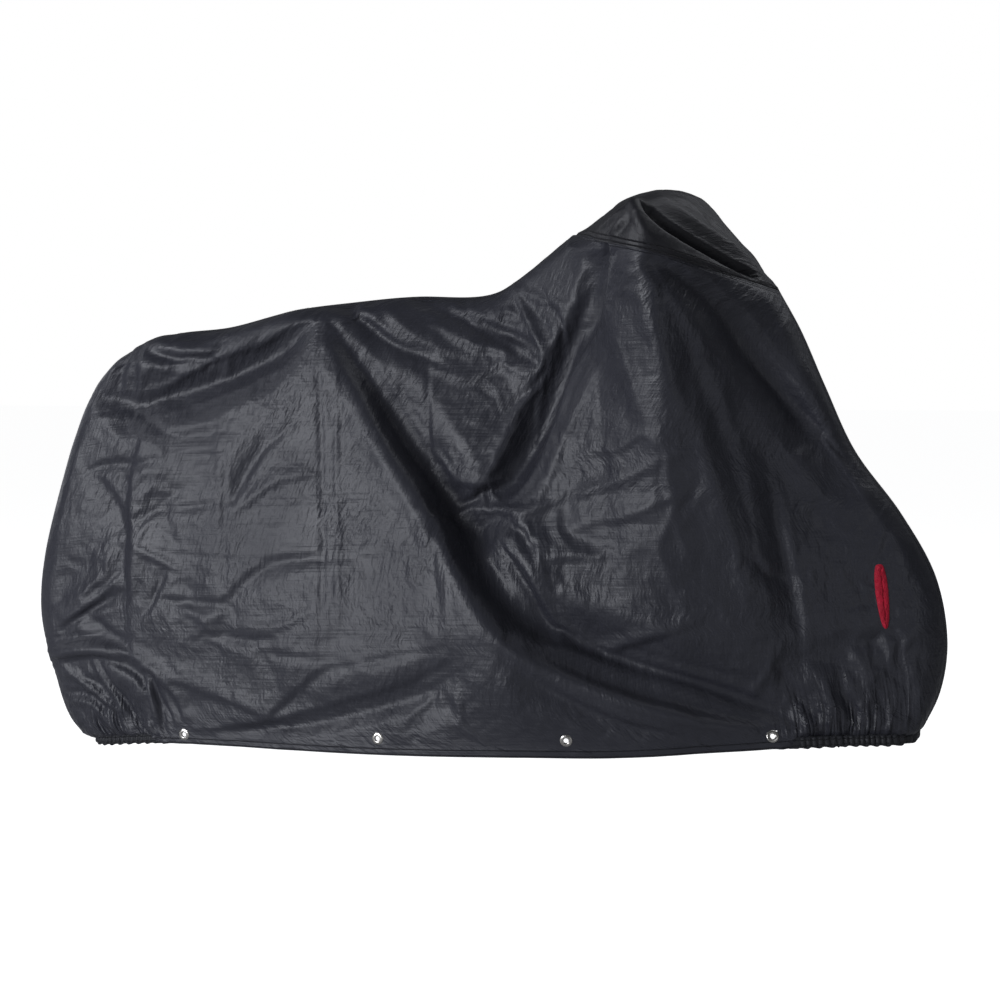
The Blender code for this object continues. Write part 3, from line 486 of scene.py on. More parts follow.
CREASES_RIGHT = folds(
    (-5, 8, 10, 6, 9, 2, 752, 464, 733, 474), (4, 8, 8, 6, 9, 2, 753, 449, 726, 455),
    (-5, 8, 8, 6, 9, 2, 755, 433, 736, 430), (-7, 10, 10, 6, 9, 2, 766, 377, 742, 361),
    (-7, 10, 10, 6, 9, 2, 782, 377, 803, 362), (6, 10, 12, 6, 9, 2, 774, 370, 779, 332),
    (5, 10, 10, 6, 9, 2, 756, 506, 760, 545), (-5, 8, 8, 6, 9, 2, 760, 508, 777, 548),
    (10, 26, 70, 7, 2, 6, -270, 915, -220, 840, -135, 705, -55, 595, 25, 465, 80, 410),
    (-16, 40, 24, 6, 3, 6, -240, 920, -165, 810, -90, 695, -15, 605, 60, 485, 115, 420, 175, 370),
    (7, 30, 30, 5, 2, 3, 0, 550, 75, 470, 145, 405, 215, 355),
    (15, 22, 30, 6, 5, 3, 145, 360, 270, 320, 440, 280, 550, 245),
    (-19, 26, 18, 6, 4, 3, 215, 350, 310, 320, 440, 285, 550, 250, 625, 220),
    (12, 22, 26, 5, 2, 3, 130, 345, 255, 285, 405, 235, 530, 205),
    (-12, 20, 18, 5, 2, 3, 155, 345, 275, 300, 435, 255, 555, 220),
    (-11, 20, 26, 5, 2, 3, 105, 340, 185, 280, 300, 225, 435, 190),
    (7, 16, 22, 7, 2, 4, 265, 335, 355, 370, 415, 390, 445, 405),
    (12, 80, 24, 7, 6, 5, 280, 1000, 240, 920, 210, 825, 180, 735, 135, 675),
    (-17, 45, 34, 4, 6, 5, 297, 1068, 289, 1030, 247, 935, 197, 845, 152, 740, 110, 660, 45, 610,
     -20, 595),
    (3, 8, 8, 9, 3, 3, 155, 825, 140, 740, 125, 670),
    (-19, 35, 12, 3, 10, 3, 302, 1074, 298, 1045, 289, 1000, 270, 950, 240, 900),
    (6, 30, 50, 3, 6, 4, 300, 985, 325, 885, 350, 795, 380, 725),
    (5, 35, 45, 2, 1, 4, 370, 960, 395, 840, 435, 720, 470, 615, 500, 510),
    (-5, 35, 35, 2, 1, 4, 350, 980, 380, 860, 420, 740, 460, 615),
    (6, 50, 35, 7, 3, 4, 445, 795, 460, 710, 485, 615, 510, 535, 530, 435),
    (-7, 35, 40, 4, 6, 3, 395, 1025, 435, 910, 470, 790, 510, 670, 545, 545),
    (-10, 60, 22, 7, 8, 3, 415, 1025, 475, 965, 540, 855, 615, 775, 705, 680, 795, 565),
    (8, 40, 50, 3, 5, 3, 505, 965, 570, 870, 640, 790, 720, 690, 805, 575),
    (-6, 50, 40, 2, 3, 3, 510, 755, 575, 665, 655, 575, 710, 505),
    (4, 60, 12, 7, 2, 5, 575, 655, 595, 565, 620, 465, 635, 360),
    (-11, 10, 50, 5, 3, 5, 578, 640, 593, 555, 615, 455, 630, 355),
    (-8.7, 14, 20, 6, 5, 5, 545, 510, 580, 480, 610, 485),
    (-13, 20, 26, 5, 6, 5, -235, 975, -180, 925, -130, 890, -70, 870),
    (6, 40, 20, 4, 5, 4, -165, 975, -120, 925, -75, 895, -25, 875),
    (8, 30, 26, 4, 4, 5, -55, 930, 10, 895, 70, 880, 110, 880),
    (-11.6, 22, 30, 5, 5, 5, -80, 970, -30, 950, 35, 925, 105, 895),
    (-6, 10, 12, 7, 9, 4, -10, 980, 0, 955, 5, 930),
    (8, 14, 12, 8, 4, 5, 10, 935, 65, 905, 115, 880, 170, 860),
    (6, 12, 12, 9, 4, 4, 85, 1000, 120, 935, 150, 885, 170, 865),
    (5, 12, 12, 9, 3, 3, 110, 985, 155, 965, 205, 955),
    (-5, 12, 12, 8, 3, 3, 145, 990, 185, 930, 195, 885),
    (-13, 18, 22, 5, 4, 5, 35, 925, 90, 905, 135, 885),
    (5, 30, 16, 5, 4, 3, -50, 840, 5, 825, 45, 840, 85, 865),
    (-6, 20, 16, 6, 2, 5, 65, 735, 100, 780, 145, 820),
    (6, 20, 20, 4, 4, 4, -30, 640, 30, 635, 90, 645),
    (-11.6, 14, 20, 6, 5, 3, -10, 595, 35, 610, 105, 635),
    (6, 12, 16, 7, 5, 3, -5, 585, 55, 585, 130, 585, 195, 610),
    (-11.6, 16, 20, 8, 4, 3, 85, 575, 130, 545, 155, 500),
    (-13, 14, 26, 8, 4, 3, 105, 505, 145, 445, 185, 375),
    (6, 24, 12, 7, 4, 3, 125, 505, 160, 445, 200, 370),
    (6, 18, 24, 7, 3, 3, 195, 615, 280, 635, 345, 665, 380, 680),
    (4, 14, 16, 8, 3, 3, 250, 695, 310, 705, 355, 730, 385, 710),
    (-4, 12, 12, 8, 4, 4, 390, 695, 385, 650, 395, 610),
    (5, 14, 16, 8, 3, 3, 170, 500, 225, 510, 275, 510),
    (4, 12, 14, 8, 3, 3, 225, 555, 270, 575, 320, 580, 385, 615, 435, 625),
    (4, 12, 14, 8, 3, 3, 395, 690, 435, 700, 470, 695),
    (-4, 12, 14, 8, 3, 3, 410, 580, 435, 615, 450, 650),
    (4, 16, 12, 8, 3, 3, 385, 535, 405, 580, 415, 555, 435, 510),
    (4, 20, 12, 6, 3, 3, 375, 530, 405, 455, 435, 405),
    (4, 10, 12, 8, 4, 2, 535, 265, 560, 300, 580, 335),
    (-8.7, 12, 12, 8, 4, 4, 600, 305, 625, 260, 655, 225),
    (-14, 20, 34, 6, 3, 5, -290, 935, -335, 890, -370, 870, -460, 830, -555, 800, -650, 775),
    (8, 20, 26, 5, 3, 4, -315, 940, -380, 900, -455, 875, -540, 840, -605, 800),
    (7, 16, 16, 6, 3, 3, -635, 890, -570, 880, -505, 875, -465, 860),
    (-11.6, 12, 16, 6, 4, 4, -625, 875, -555, 865, -490, 870, -470, 895),
    (4, 10, 10, 8, 3, 3, -460, 865, -470, 840, -480, 815),
    (-10, 20, 30, 4, 4, 6, -650, 780, -700, 785, -745, 790),
    (7, 30, 14, 7, 4, 4, -630, 885, -640, 830, -655, 775),
    (-8, 20, 16, 6, 6, 3, -670, 870, -680, 840, -695, 800),
    (6, 80, 26, 7, 3, 5, -620, 745, -635, 685, -650, 640, -655, 530, -650, 395, -655, 335),
    (-5, 16, 60, 4, 3, 5, -645, 705, -665, 630, -670, 515, -670, 395),
    (-5, 26, 20, 5, 4, 3, -640, 755, -595, 725, -540, 715, -460, 730),
    (-4, 18, 18, 6, 3, 3, -550, 675, -510, 680, -460, 680),
    (-8, 20, 14, 6, 3, 3, -755, 645, -700, 660, -645, 660, -600, 670),
    (-7, 20, 24, 5, 4, 4, -735, 630, -705, 600, -685, 565),
    (-4, 18, 14, 6, 3, 3, -650, 555, -590, 575, -530, 580, -455, 595),
    (-7, 18, 22, 6, 3, 4, -340, 725, -380, 690, -415, 640, -440, 595),
    (5, 18, 20, 6, 3, 3, -445, 565, -405, 595, -345, 635, -265, 650),
    (5, 10, 10, 9, 5, 3, -650, 500, -605, 480, -555, 460),
    (-7, 12, 16, 7, 3, 4, -580, 460, -595, 420, -620, 375),
    (-6, 22, 22, 5, 6, 3, -440, 405, -405, 445, -350, 480, -265, 495),
    (-6, 14, 16, 5, 3, 5, -590, 400, -525, 400, -450, 400),
    (-6, 14, 12, 6, 5, 3, -465, 340, -405, 335, -345, 340),
    (4, 12, 12, 7, 3, 3, -450, 360, -395, 360, -340, 360, -275, 390),
    (-3, 10, 10, 7, 3, 3, -370, 315, -310, 310, -250, 310),
    (4, 12, 12, 6, 3, 3, -560, 385, -515, 375, -480, 345),
    (8, 9, 12, 9, 6, 5, -805, 350, -750, 385, -690, 430),
    (-7, 12, 14, 7, 5, 3, -810, 340, -740, 380, -685, 410),
    (-6, 20, 20, 4, 3, 3, -765, 365, -710, 330, -665, 305),
    (10, 20, 18, 7, 6, 4, -855, 275, -755, 290, -665, 290, -620, 265, -565, 220, -540, 175),
    (-12, 18, 22, 6, 5, 4, -840, 260, -750, 275, -670, 270, -630, 245, -590, 200, -570, 160),
    (9, 12, 12, 8, 3, 8, -825, 250, -765, 220, -720, 180, -705, 140),
    (9, 10, 12, 8, 3, 8, -750, 275, -690, 195, -655, 145),
    (-9, 10, 12, 8, 3, 8, -730, 265, -675, 195, -645, 145),
    (10, 10, 10, 8, 4, 8, -625, 250, -615, 205, -605, 160),
    (-9, 10, 12, 7, 4, 8, -605, 240, -595, 200, -590, 160),
    (8, 10, 14, 7, 3, 8, -810, 185, -750, 180, -715, 140),
    (-8, 10, 12, 7, 3, 8, -820, 205, -755, 200, -695, 165, -680, 140),
    (5, 30, 22, 5, 2, 8, -620, 265, -495, 230, -410, 210, -350, 190),
    (-4, 18, 20, 6, 8, 3, -350, 190, -290, 245, -235, 290),
    (6, 30, 20, 6, 3, 4, -500, 155, -350, 190, -235, 225, -90, 275, -10, 315),
    (-7, 22, 24, 5, 3, 3, -475, 145, -295, 180, -170, 215, -50, 255, 20, 300),
    (4, 10, 12, 7, 3, 3, -10, 290, 15, 240, 25, 195),
    (-4, 14, 14, 6, 3, 4, 5, 275, 15, 230, 30, 200),
    (-2.2, 8, 10, 9, 2, 2, -455, 740, -455, 595, -450, 485, -455, 330),
    (-2.4, 8, 10, 9, 2, 2, -270, 915, -260, 730, -250, 525, -245, 325),
    (2.2, 8, 8, 9, 2, 2, -235, 860, -230, 655, -215, 345),
    (-2.4, 9, 9, 9, 2, 2, -65, 900, -60, 695, -25, 500, -10, 360),
    (2, 8, 8, 9, 2, 2, -5, 500, 10, 340, 30, 185),
    (-2, 8, 10, 9, 2, 2, -650, 500, -450, 485, -250, 495, -95, 500),
    (1.8, 8, 8, 8, 2, 2, -405, 590, -255, 600, -140, 610),
    (-2, 10, 8, 8, 2, 2, -245, 285, -90, 325, 10, 345),
    (-5, 10, 10, 8, 2, 8, 710, 480, 730, 455, 750, 445),
    (-4, 8, 8, 8, 9, 2, 765, 380, 755, 365, 740, 355),
    (-4, 8, 8, 8, 9, 2, 785, 385, 795, 365, 800, 345),
    (-3, 8, 8, 8, 3, 6, 770, 540, 760, 520, 755, 500),
    (-7, 16, 16, 5, 3, 8, 650, 335, 710, 315, 750, 275, 780, 210),
    (8, 14, 14, 6, 3, 8, 660, 300, 675, 255, 710, 215),
    (8, 16, 16, 5, 3, 8, 720, 335, 745, 275, 770, 210),
    (-6, 10, 10, 7, 3, 3, 770, 320, 795, 295, 815, 275),
    (7, 16, 12, 5, 3, 8, 805, 335, 825, 275, 815, 205),
    (-8, 12, 14, 6, 3, 8, 690, 315, 710, 255, 740, 205),
    (5, 30, 30, 3, 4, 3, 635, 365, 710, 385, 795, 365, 850, 380),
)
CREASES_LEFT = folds(
    (8, 70, 30, 7, 2, 6, -250, 900, -170, 700, -100, 540, 0, 430),
    (-10, 30, 45, 6, 3, 6, -220, 880, -85, 660, 30, 500, 150, 400),
    (10, 30, 22, 7, 5, 3, 80, 350, 250, 280, 430, 240, 560, 215),
    (-11, 20, 26, 7, 4, 3, 120, 360, 280, 305, 460, 262, 600, 230),
    (12, 30, 80, 7, 6, 5, 270, 1040, 240, 900, 170, 760, 110, 640),
    (-9, 24, 60, 7, 8, 3, 400, 1030, 500, 900, 610, 740, 720, 590),
    (7, 50, 40, 3, 5, 3, 460, 990, 560, 830, 680, 640, 760, 520),
    (7, 40, 40, 5, 6, 4, 330, 1030, 360, 860, 400, 700, 420, 560),
    (-7, 40, 40, 4, 5, 4, 370, 1020, 430, 860, 480, 700, 500, 560),
    (-13, 30, 22, 6, 3, 5, -300, 920, -400, 850, -520, 810, -660, 785),
    (6, 30, 80, 6, 3, 5, -690, 740, -700, 560, -700, 380),
    (10, 18, 22, 7, 6, 4, -850, 290, -740, 300, -650, 250, -590, 180),
    (-11, 22, 18, 6, 5, 4, -845, 270, -745, 280, -670, 232, -620, 160),
    (-7, 22, 22, 5, 5, 3, -600, 420, -520, 480, -420, 510, -330, 500),
    (6, 30, 22, 6, 3, 3, -560, 160, -380, 190, -200, 250, -60, 330),
    (-2.2, 9, 9, 9, 2, 2, -480, 760, -478, 560, -480, 340),
    (-2.4, 9, 9, 9, 2, 2, -280, 930, -284, 640, -278, 320),
    (-2.2, 9, 9, 9, 2, 2, -70, 900, -74, 640, -66, 330),
    (-2, 9, 9, 9, 2, 2, -680, 520, -380, 515, -120, 520),
)
CRUMPLE_ZONES_RIGHT = [CrumpleZone(*row) for row in (
    (0.090, 0.900, 0.120, 0.110, 1.0), (0.270, 0.560, 0.140, 0.130, 1.0),
    (0.180, 0.520, 0.080, 0.110, 0.8), (-0.640, 0.560, 0.130, 0.180, 0.9),
    (-0.760, 0.420, 0.100, 0.130, 1.0), (-0.520, 0.380, 0.120, 0.090, 0.8),
    (-0.060, 0.230, 0.090, 0.060, 0.7), (-0.600, 0.880, 0.140, 0.060, 1.0),
    (0.700, 0.300, 0.140, 0.110, 0.7), (0.420, 0.430, 0.120, 0.080, 0.5),
    (-0.340, 0.330, 0.100, 0.080, 0.6),
)]
CRUMPLE_ZONES_LEFT = [CrumpleZone(*row) for row in (
    (0.100, 0.900, 0.130, 0.110, 1.0), (0.230, 0.560, 0.150, 0.140, 1.0),
    (-0.650, 0.540, 0.150, 0.170, 1.0), (-0.420, 0.400, 0.160, 0.110, 0.8),
    (0.690, 0.320, 0.150, 0.120, 0.8), (-0.600, 0.880, 0.140, 0.060, 0.9),
)]
CAP_FOLDS = folds(
    (-21, 6, 14, 5, 7, 6, 362, 1118, 400, 1088, 440, 1062, 480, 1040, 530, 1014),
    (11, 26, 18, 4, 6, 5, 372, 1140, 405, 1114, 445, 1086, 490, 1060, 540, 1028),
    (10, 20, 20, 4, 9, 5, 338, 1124, 342, 1112, 345, 1098),
    (8, 18, 18, 7, 9, 3, 345, 1118, 355, 1090, 370, 1060),
    (-16, 12, 12, 6, 6, 5, 470, 1098, 455, 1112, 448, 1130),
    (6, 10, 12, 8, 4, 4, 395, 1142, 425, 1132, 446, 1110),
    (6, 14, 12, 8, 4, 4, 335, 1120, 300, 1098, 262, 1082),
    (-8, 12, 12, 8, 4, 4, 345, 1112, 325, 1086, 312, 1066),
    (6, 10, 10, 8, 4, 4, 332, 1105, 308, 1082, 292, 1066),
)
FACETS = [
    Facets(0.085, 1.5, 0.9, 0.0045, 11), Facets(0.046, 1.3, -0.4, 0.0024, 23),
    Facets(0.024, 1.2, 0.3, 0.0011, 37),
]
CALM_FACETS = 0.50     # strength of the facets outside the crumple zones
SHARP_ANGLE = math.radians(75.0)
CLOTH = 0.0008         # thickness of the sheets
HEM_HEIGHT = 0.017     # height of the folded and stitched hem
HEM_PROUD = 0.0009     # how far the folded hem stands out of the single cloth
HEM_ROWS = (0.0, 0.0012, 0.006, 0.011, HEM_HEIGHT - 0.0004, HEM_HEIGHT + 0.0008,
            HEM_HEIGHT + 0.005)     # heights of the lowest rows of points
HEM_STEP = (HEM_HEIGHT - 0.0006, HEM_HEIGHT + 0.0010)     # heights between which it steps in
HEM_CREASES = 0.25     # strength of the creases at the hem
CALM_END = 0.03        # distance from an end within which the creases die away
CALM_TOP = 0.012       # the same below the top edge
CRUMPLE_CORE = 0.35    # share of a crumple zone's reach that has its full strength
EYELET_FLAT = (0.014, 0.034)     # radii between which the flat place at an eyelet ends
CUT_RADIUS = 0.0072    # radius of the round cut under each eyelet
CUT_RING = (0.0036, 0.0078)     # points between these radii are moved out to the cut's edge
CUT_INSIDE = 0.0070    # points nearer to its middle than this are cut away
SLIT = (0.040, 0.0030)     # half the length and half the width of the cut under the slot's tape
SLOT_HELD = (0.030, 0.070)     # half-width and half-height of the oval held still at the slot
USUAL_HEIGHT = 0.83    # height of a side that sets the number of its rows
HEM_STITCHES = (0.0030, 0.0145)
CAP_STITCHES = (0.003, 0.009)
TUCK = 0.0040          # how far the cloth is drawn in over the elastic
PLEAT_HEIGHT = 0.190   # height at which the finest pleats have died away
END_SHIFT = 3.7        # keeps the fine pleats of the two ends apart on their map
# Pleats over the elastic, with how far each kind runs past it in place of the length.
GATHERS = (Gather(0.04, 0.034, 0.0120, 0.200, 0), Gather(0.01, 0.017, 0.0055, 0.090, 20),
           Gather(0.0, 0.009, 0.0022, 0.040, 50))


# --- shape of the two sides

@dataclass
class CoverForm:
    """The shape in which the cloth hangs, as functions of u (rear to front) and t (hem to top)."""

    length: float = FRONT_OUTLINE[0].x - REAR_OUTLINE[0].x

    def cap_share(self) -> float:
        """Fraction of the top edge, from the rear, at which the cap begins."""
        spine = sum(math.dist(a, b) for a, b in zip(SPINE, SPINE[1:]))
        return spine / (spine + CAP_SEAM[-1].x - CAP_SEAM[0].x)

    def cap_seam_at(self, fractions: Array) -> Array:
        """Seam of the cap as rows of x, half-width and z, at fractions of its length."""
        points = along(CAP_SEAM, fractions)
        points[:, 1] = np.clip(points[:, 1], 0.0, None)
        return points

    def top_edge(self, u: Array) -> Array:
        """Top edge of a side as rows of x, half-width and z."""
        split = self.cap_share()
        on_spine = along(SPINE, np.clip(u / split, 0.0, 1.0))
        on_cap = self.cap_seam_at(np.clip((u - split) / (1.0 - split), 0.0, 1.0))
        spine = np.stack([on_spine[:, 0], np.zeros(len(u)), on_spine[:, 1]], axis=1)
        return np.where((u <= split)[:, None], spine, on_cap)

    def height(self, u: Array) -> Array:
        """Straight side-view distance from the hem to the top edge."""
        return np.linalg.norm(self.top_edge(u)[:, [0, 2]] - along(HEM, u), axis=1)

    def side_view(self, u: Array, t: Array) -> Array:
        """Side-view places.

        Args:
            u: Fractions from rear to front.
            t: Fractions from hem to top.

        Returns:
            Rows of x and z.
        """
        rear, front = along(REAR_OUTLINE, t), along(FRONT_OUTLINE, t)
        hem, top = along(HEM, u), self.top_edge(u)[:, [0, 2]]
        u, t = u[:, None], t[:, None]
        rear_bulge = rear - (1 - t) * np.array(REAR_OUTLINE[0]) - t * np.array(REAR_OUTLINE[-1])
        front_bulge = front - (1 - t) * np.array(FRONT_OUTLINE[0])
        front_bulge = front_bulge - t * np.array(FRONT_OUTLINE[-1])
        return (1 - t) * hem + t * top + (1 - u) * rear_bulge + u * front_bulge

    def width_at_top(self, x: Array) -> Array:
        """Half-width at the top for each x."""
        weights = spline_weights([s.x for s in SECTIONS], x)
        return np.maximum(weights @ np.array([s.top for s in SECTIONS]), LEAST_WIDTH)

    def u_at_hem(self, x: float) -> float:
        """Fraction u at which the hem passes x."""
        fractions = np.linspace(0.0, 1.0, 801)
        return float(np.interp(x, along(HEM, fractions)[:, 0], fractions))

    def surface(self, sign: float, main_folds: Sequence[Fold], u: Array,
                t: Array) -> tuple[Array, Array]:
        """Outer face of one side with its main folds.

        Args:
            sign: Sign of the side's y.
            main_folds: Main folds of the side.
            u: Fractions from rear to front.
            t: Fractions from hem to top.

        Returns:
            The points, and their side-view places.
        """
        places = self.side_view(u, t)
        across = spline_weights([s.x for s in SECTIONS], places[:, 0])
        upward = spline_weights(SECTION_RISE, t)
        width = ((across @ np.array([s[1:] for s in SECTIONS])) * upward).sum(axis=1)
        edge = self.top_edge(u)
        height = self.height(u)
        open_top = np.clip(edge[:, 1] / self.width_at_top(edge[:, 0]), 0.0, 1.0)
        nose = rounded(u * self.length, NOSE_ROUND)
        nose = nose * rounded((1.0 - u) * self.length, NOSE_ROUND)
        roof = open_top + (1.0 - open_top) * rounded((1.0 - t) * height, TOP_ROUND)
        push = sum(fold.offset(places) for fold in main_folds)
        calm = np.clip((1.0 - t) * height / 0.06, 0.0, 1.0) * nose**2
        half = np.clip(width * nose * roof + push * calm, 0.0, None)
        turn = open_top * np.clip((t - 0.45) / 0.55, 0.0, 1.0) ** 2
        points = np.stack([places[:, 0] + HANDLEBAR_TURN * sign * half * turn, sign * half,
                           places[:, 1]], axis=1)
        return points, places


FORM = CoverForm()


def grid_normals(grid: Array) -> Array:
    """Unit normals of a grid of points, from its rows and columns."""
    return unit(np.cross(np.gradient(grid, axis=1), np.gradient(grid, axis=0)))


def placed_object(mesh: Mesh) -> Object:
    """Object of a closed mesh, with its faces turned outward and shaded smooth."""
    work = bmesh.new()
    work.from_mesh(mesh)
    bmesh.ops.recalc_face_normals(work, faces=work.faces)
    work.to_mesh(mesh)
    work.free()
    mesh.shade_smooth()
    mesh.set_sharp_from_angle(angle=SHARP_ANGLE)
    thing = bpy.data.objects.new(mesh.name, mesh)
    bpy.context.scene.collection.objects.link(thing)
    return thing


def sheet_object(name: str, outer: Array, inner: Array, maps: dict[str, Array],
                 holes: Array | None = None, closed_rows: bool = False) -> Object:
    """Closed two-layer sheet between matching grids of points.

    Args:
        name: Name of the object.
        outer: Points of the outer face, rows by columns.
        inner: Points of the inner face.
        maps: UV maps, each a grid of two numbers for each point.
        holes: Cells to leave out, as a mask of rows by columns of cells.
        closed_rows: Whether each row closes on itself.

    Returns:
        The object, linked to the scene.
    """
    rows, columns = outer.shape[:2]
    cells = np.ones((rows - 1, columns if closed_rows else columns - 1), bool)
    if holes is not None:
        cells &= ~holes
    index = np.arange(rows * columns).reshape(rows, columns)
    across = np.roll(index, -1, axis=1)
    quads = np.stack([index[:-1], across[:-1], across[1:], index[1:]], axis=2)
    quads = quads[:, : cells.shape[1]][cells]
    count = rows * columns
    under = quads[:, ::-1] + count
    pairs = np.concatenate([quads[:, [k, (k + 1) % 4]] for k in range(4)])
    keys = pairs[:, 0].astype(np.int64) * count + pairs[:, 1]
    back = pairs[:, 1].astype(np.int64) * count + pairs[:, 0]
    rim = pairs[~np.isin(keys, back)]
    sides = np.stack([rim[:, 1], rim[:, 0], rim[:, 0] + count, rim[:, 1] + count], axis=1)
    faces = np.concatenate([quads, under, sides])
    points = np.concatenate([outer.reshape(-1, 3), inner.reshape(-1, 3)]) - REST_POINT
    used = np.zeros(len(points), bool)
    used[faces.ravel()] = True
    renumber = np.cumsum(used) - 1
    mesh = bpy.data.meshes.new(name)
    mesh.from_pydata(points[used].tolist(), [], renumber[faces].tolist())
    source = np.flatnonzero(used)
    corner = np.empty(len(mesh.loops), np.int32)
    mesh.loops.foreach_get("vertex_index", corner)
    for map_name, values in maps.items():
        flat = values.reshape(-1, 2)
        both = np.concatenate([flat, flat])[source]
        layer = mesh.uv_layers.new(name=map_name)
        layer.data.foreach_set("uv", both[corner].astype(np.float32).ravel())
    mesh.validate()
    return placed_object(mesh)


# --- shared shader effects

@dataclass
class Tree:
    """Short ways to add nodes to a node tree."""

    tree: NodeTree

    def node(self, kind: str, **settings: object) -> Node:
        """New node of a kind, with its settings."""
        made = self.tree.nodes.new(kind)
        for key, value in settings.items():
            setattr(made, key, value)
        return made

    def link(self, source: Socket, target: Socket) -> None:
        """Link two sockets."""
        self.tree.links.new(source, target)

    def feed(self, node: Node, values: dict[str, object]) -> Node:
        """Set a node's inputs by name, each to a number or from a socket."""
        for name, value in values.items():
            if isinstance(value, Socket):
                self.link(value, node.inputs[name])
            else:
                node.inputs[name].default_value = value
        return node

    def math(self, operation: str, *values: Socket | float, clamp: bool = False) -> Socket:
        """Math node.

        Args:
            operation: Blender's name of the operation.
            *values: What it works on, sockets or numbers.
            clamp: Whether the result stays from 0 to 1.

        Returns:
            The socket of the result.
        """
        made = self.node("ShaderNodeMath", operation=operation, use_clamp=clamp)
        for socket, value in zip(made.inputs, values):
            if isinstance(value, Socket):
                self.link(value, socket)
            else:
                socket.default_value = value
        return made.outputs[0]

    def scaled(self, vector: Socket, scale: Socket) -> Socket:
        """Vector times a number."""
        made = self.node("ShaderNodeVectorMath", operation="SCALE")
        self.link(vector, made.inputs[0])
        self.link(scale, made.inputs["Scale"])
        return made.outputs[0]

    def split(self, vector: Socket) -> Sequence[Socket]:
        """The x, y and z of a vector."""
        made = self.node("ShaderNodeSeparateXYZ")
        self.link(vector, made.inputs[0])
        return made.outputs

    def joined(self, x: Socket, y: Socket) -> Socket:
        """Vector of x and y."""
        made = self.node("ShaderNodeCombineXYZ")
        self.link(x, made.inputs[0])
        self.link(y, made.inputs[1])
        return made.outputs[0]

    def uv_map(self, name: str) -> Socket:
        """Coordinates of a UV map."""
        return self.node("ShaderNodeUVMap", uv_map=name).outputs[0]

    def noise(self, vector: Socket, dimensions: str = "2D", **values: Socket | float
              ) -> Node:
        """Noise texture at given coordinates, with its other inputs."""
        made = self.node("ShaderNodeTexNoise", noise_dimensions=dimensions)
        return self.feed(made, {"Vector": vector} | values)

    def effect(self, group: NodeTree, **values: Socket | float) -> Socket:
        """Result of a shared effect, placed in this tree with its inputs."""
        return self.feed(self.node("ShaderNodeGroup", node_tree=group), values).outputs[0]

    def bump(self, height: Socket, distance: float, below: Socket | None = None) -> Socket:
        """Normal from a height, on top of another normal if given."""
        made = self.node("ShaderNodeBump")
        self.feed(made, {"Distance": distance, "Strength": 1.0, "Height": height})
        if below is not None:
            self.link(below, made.inputs["Normal"])
        return made.outputs["Normal"]

    def mix_colour(self, share: Socket, first: Socket | Colour, second: Colour) -> Socket:
        """Colour mixed from a first colour or socket and a second colour by a share."""
        made = self.node("ShaderNodeMix", data_type="RGBA")
        self.link(share, made.inputs["Factor"])
        for socket, value in zip(list(made.inputs)[6:8], (first, second)):
            if isinstance(value, Socket):
                self.link(value, socket)
            else:
                socket.default_value = (*value, 1.0)
        return made.outputs[2]


def built_once(build: Callable[[ShaderEffects], NodeTree]
               ) -> Callable[[ShaderEffects], NodeTree]:
    """Method that builds its node group once and then finds it again by the method's name."""
    def find(effects: ShaderEffects) -> NodeTree:
        """The group, built now if it isn't there yet."""
        if build.__name__ not in effects.groups:
            effects.groups[build.__name__] = build(effects)
        return effects.groups[build.__name__]
    return find


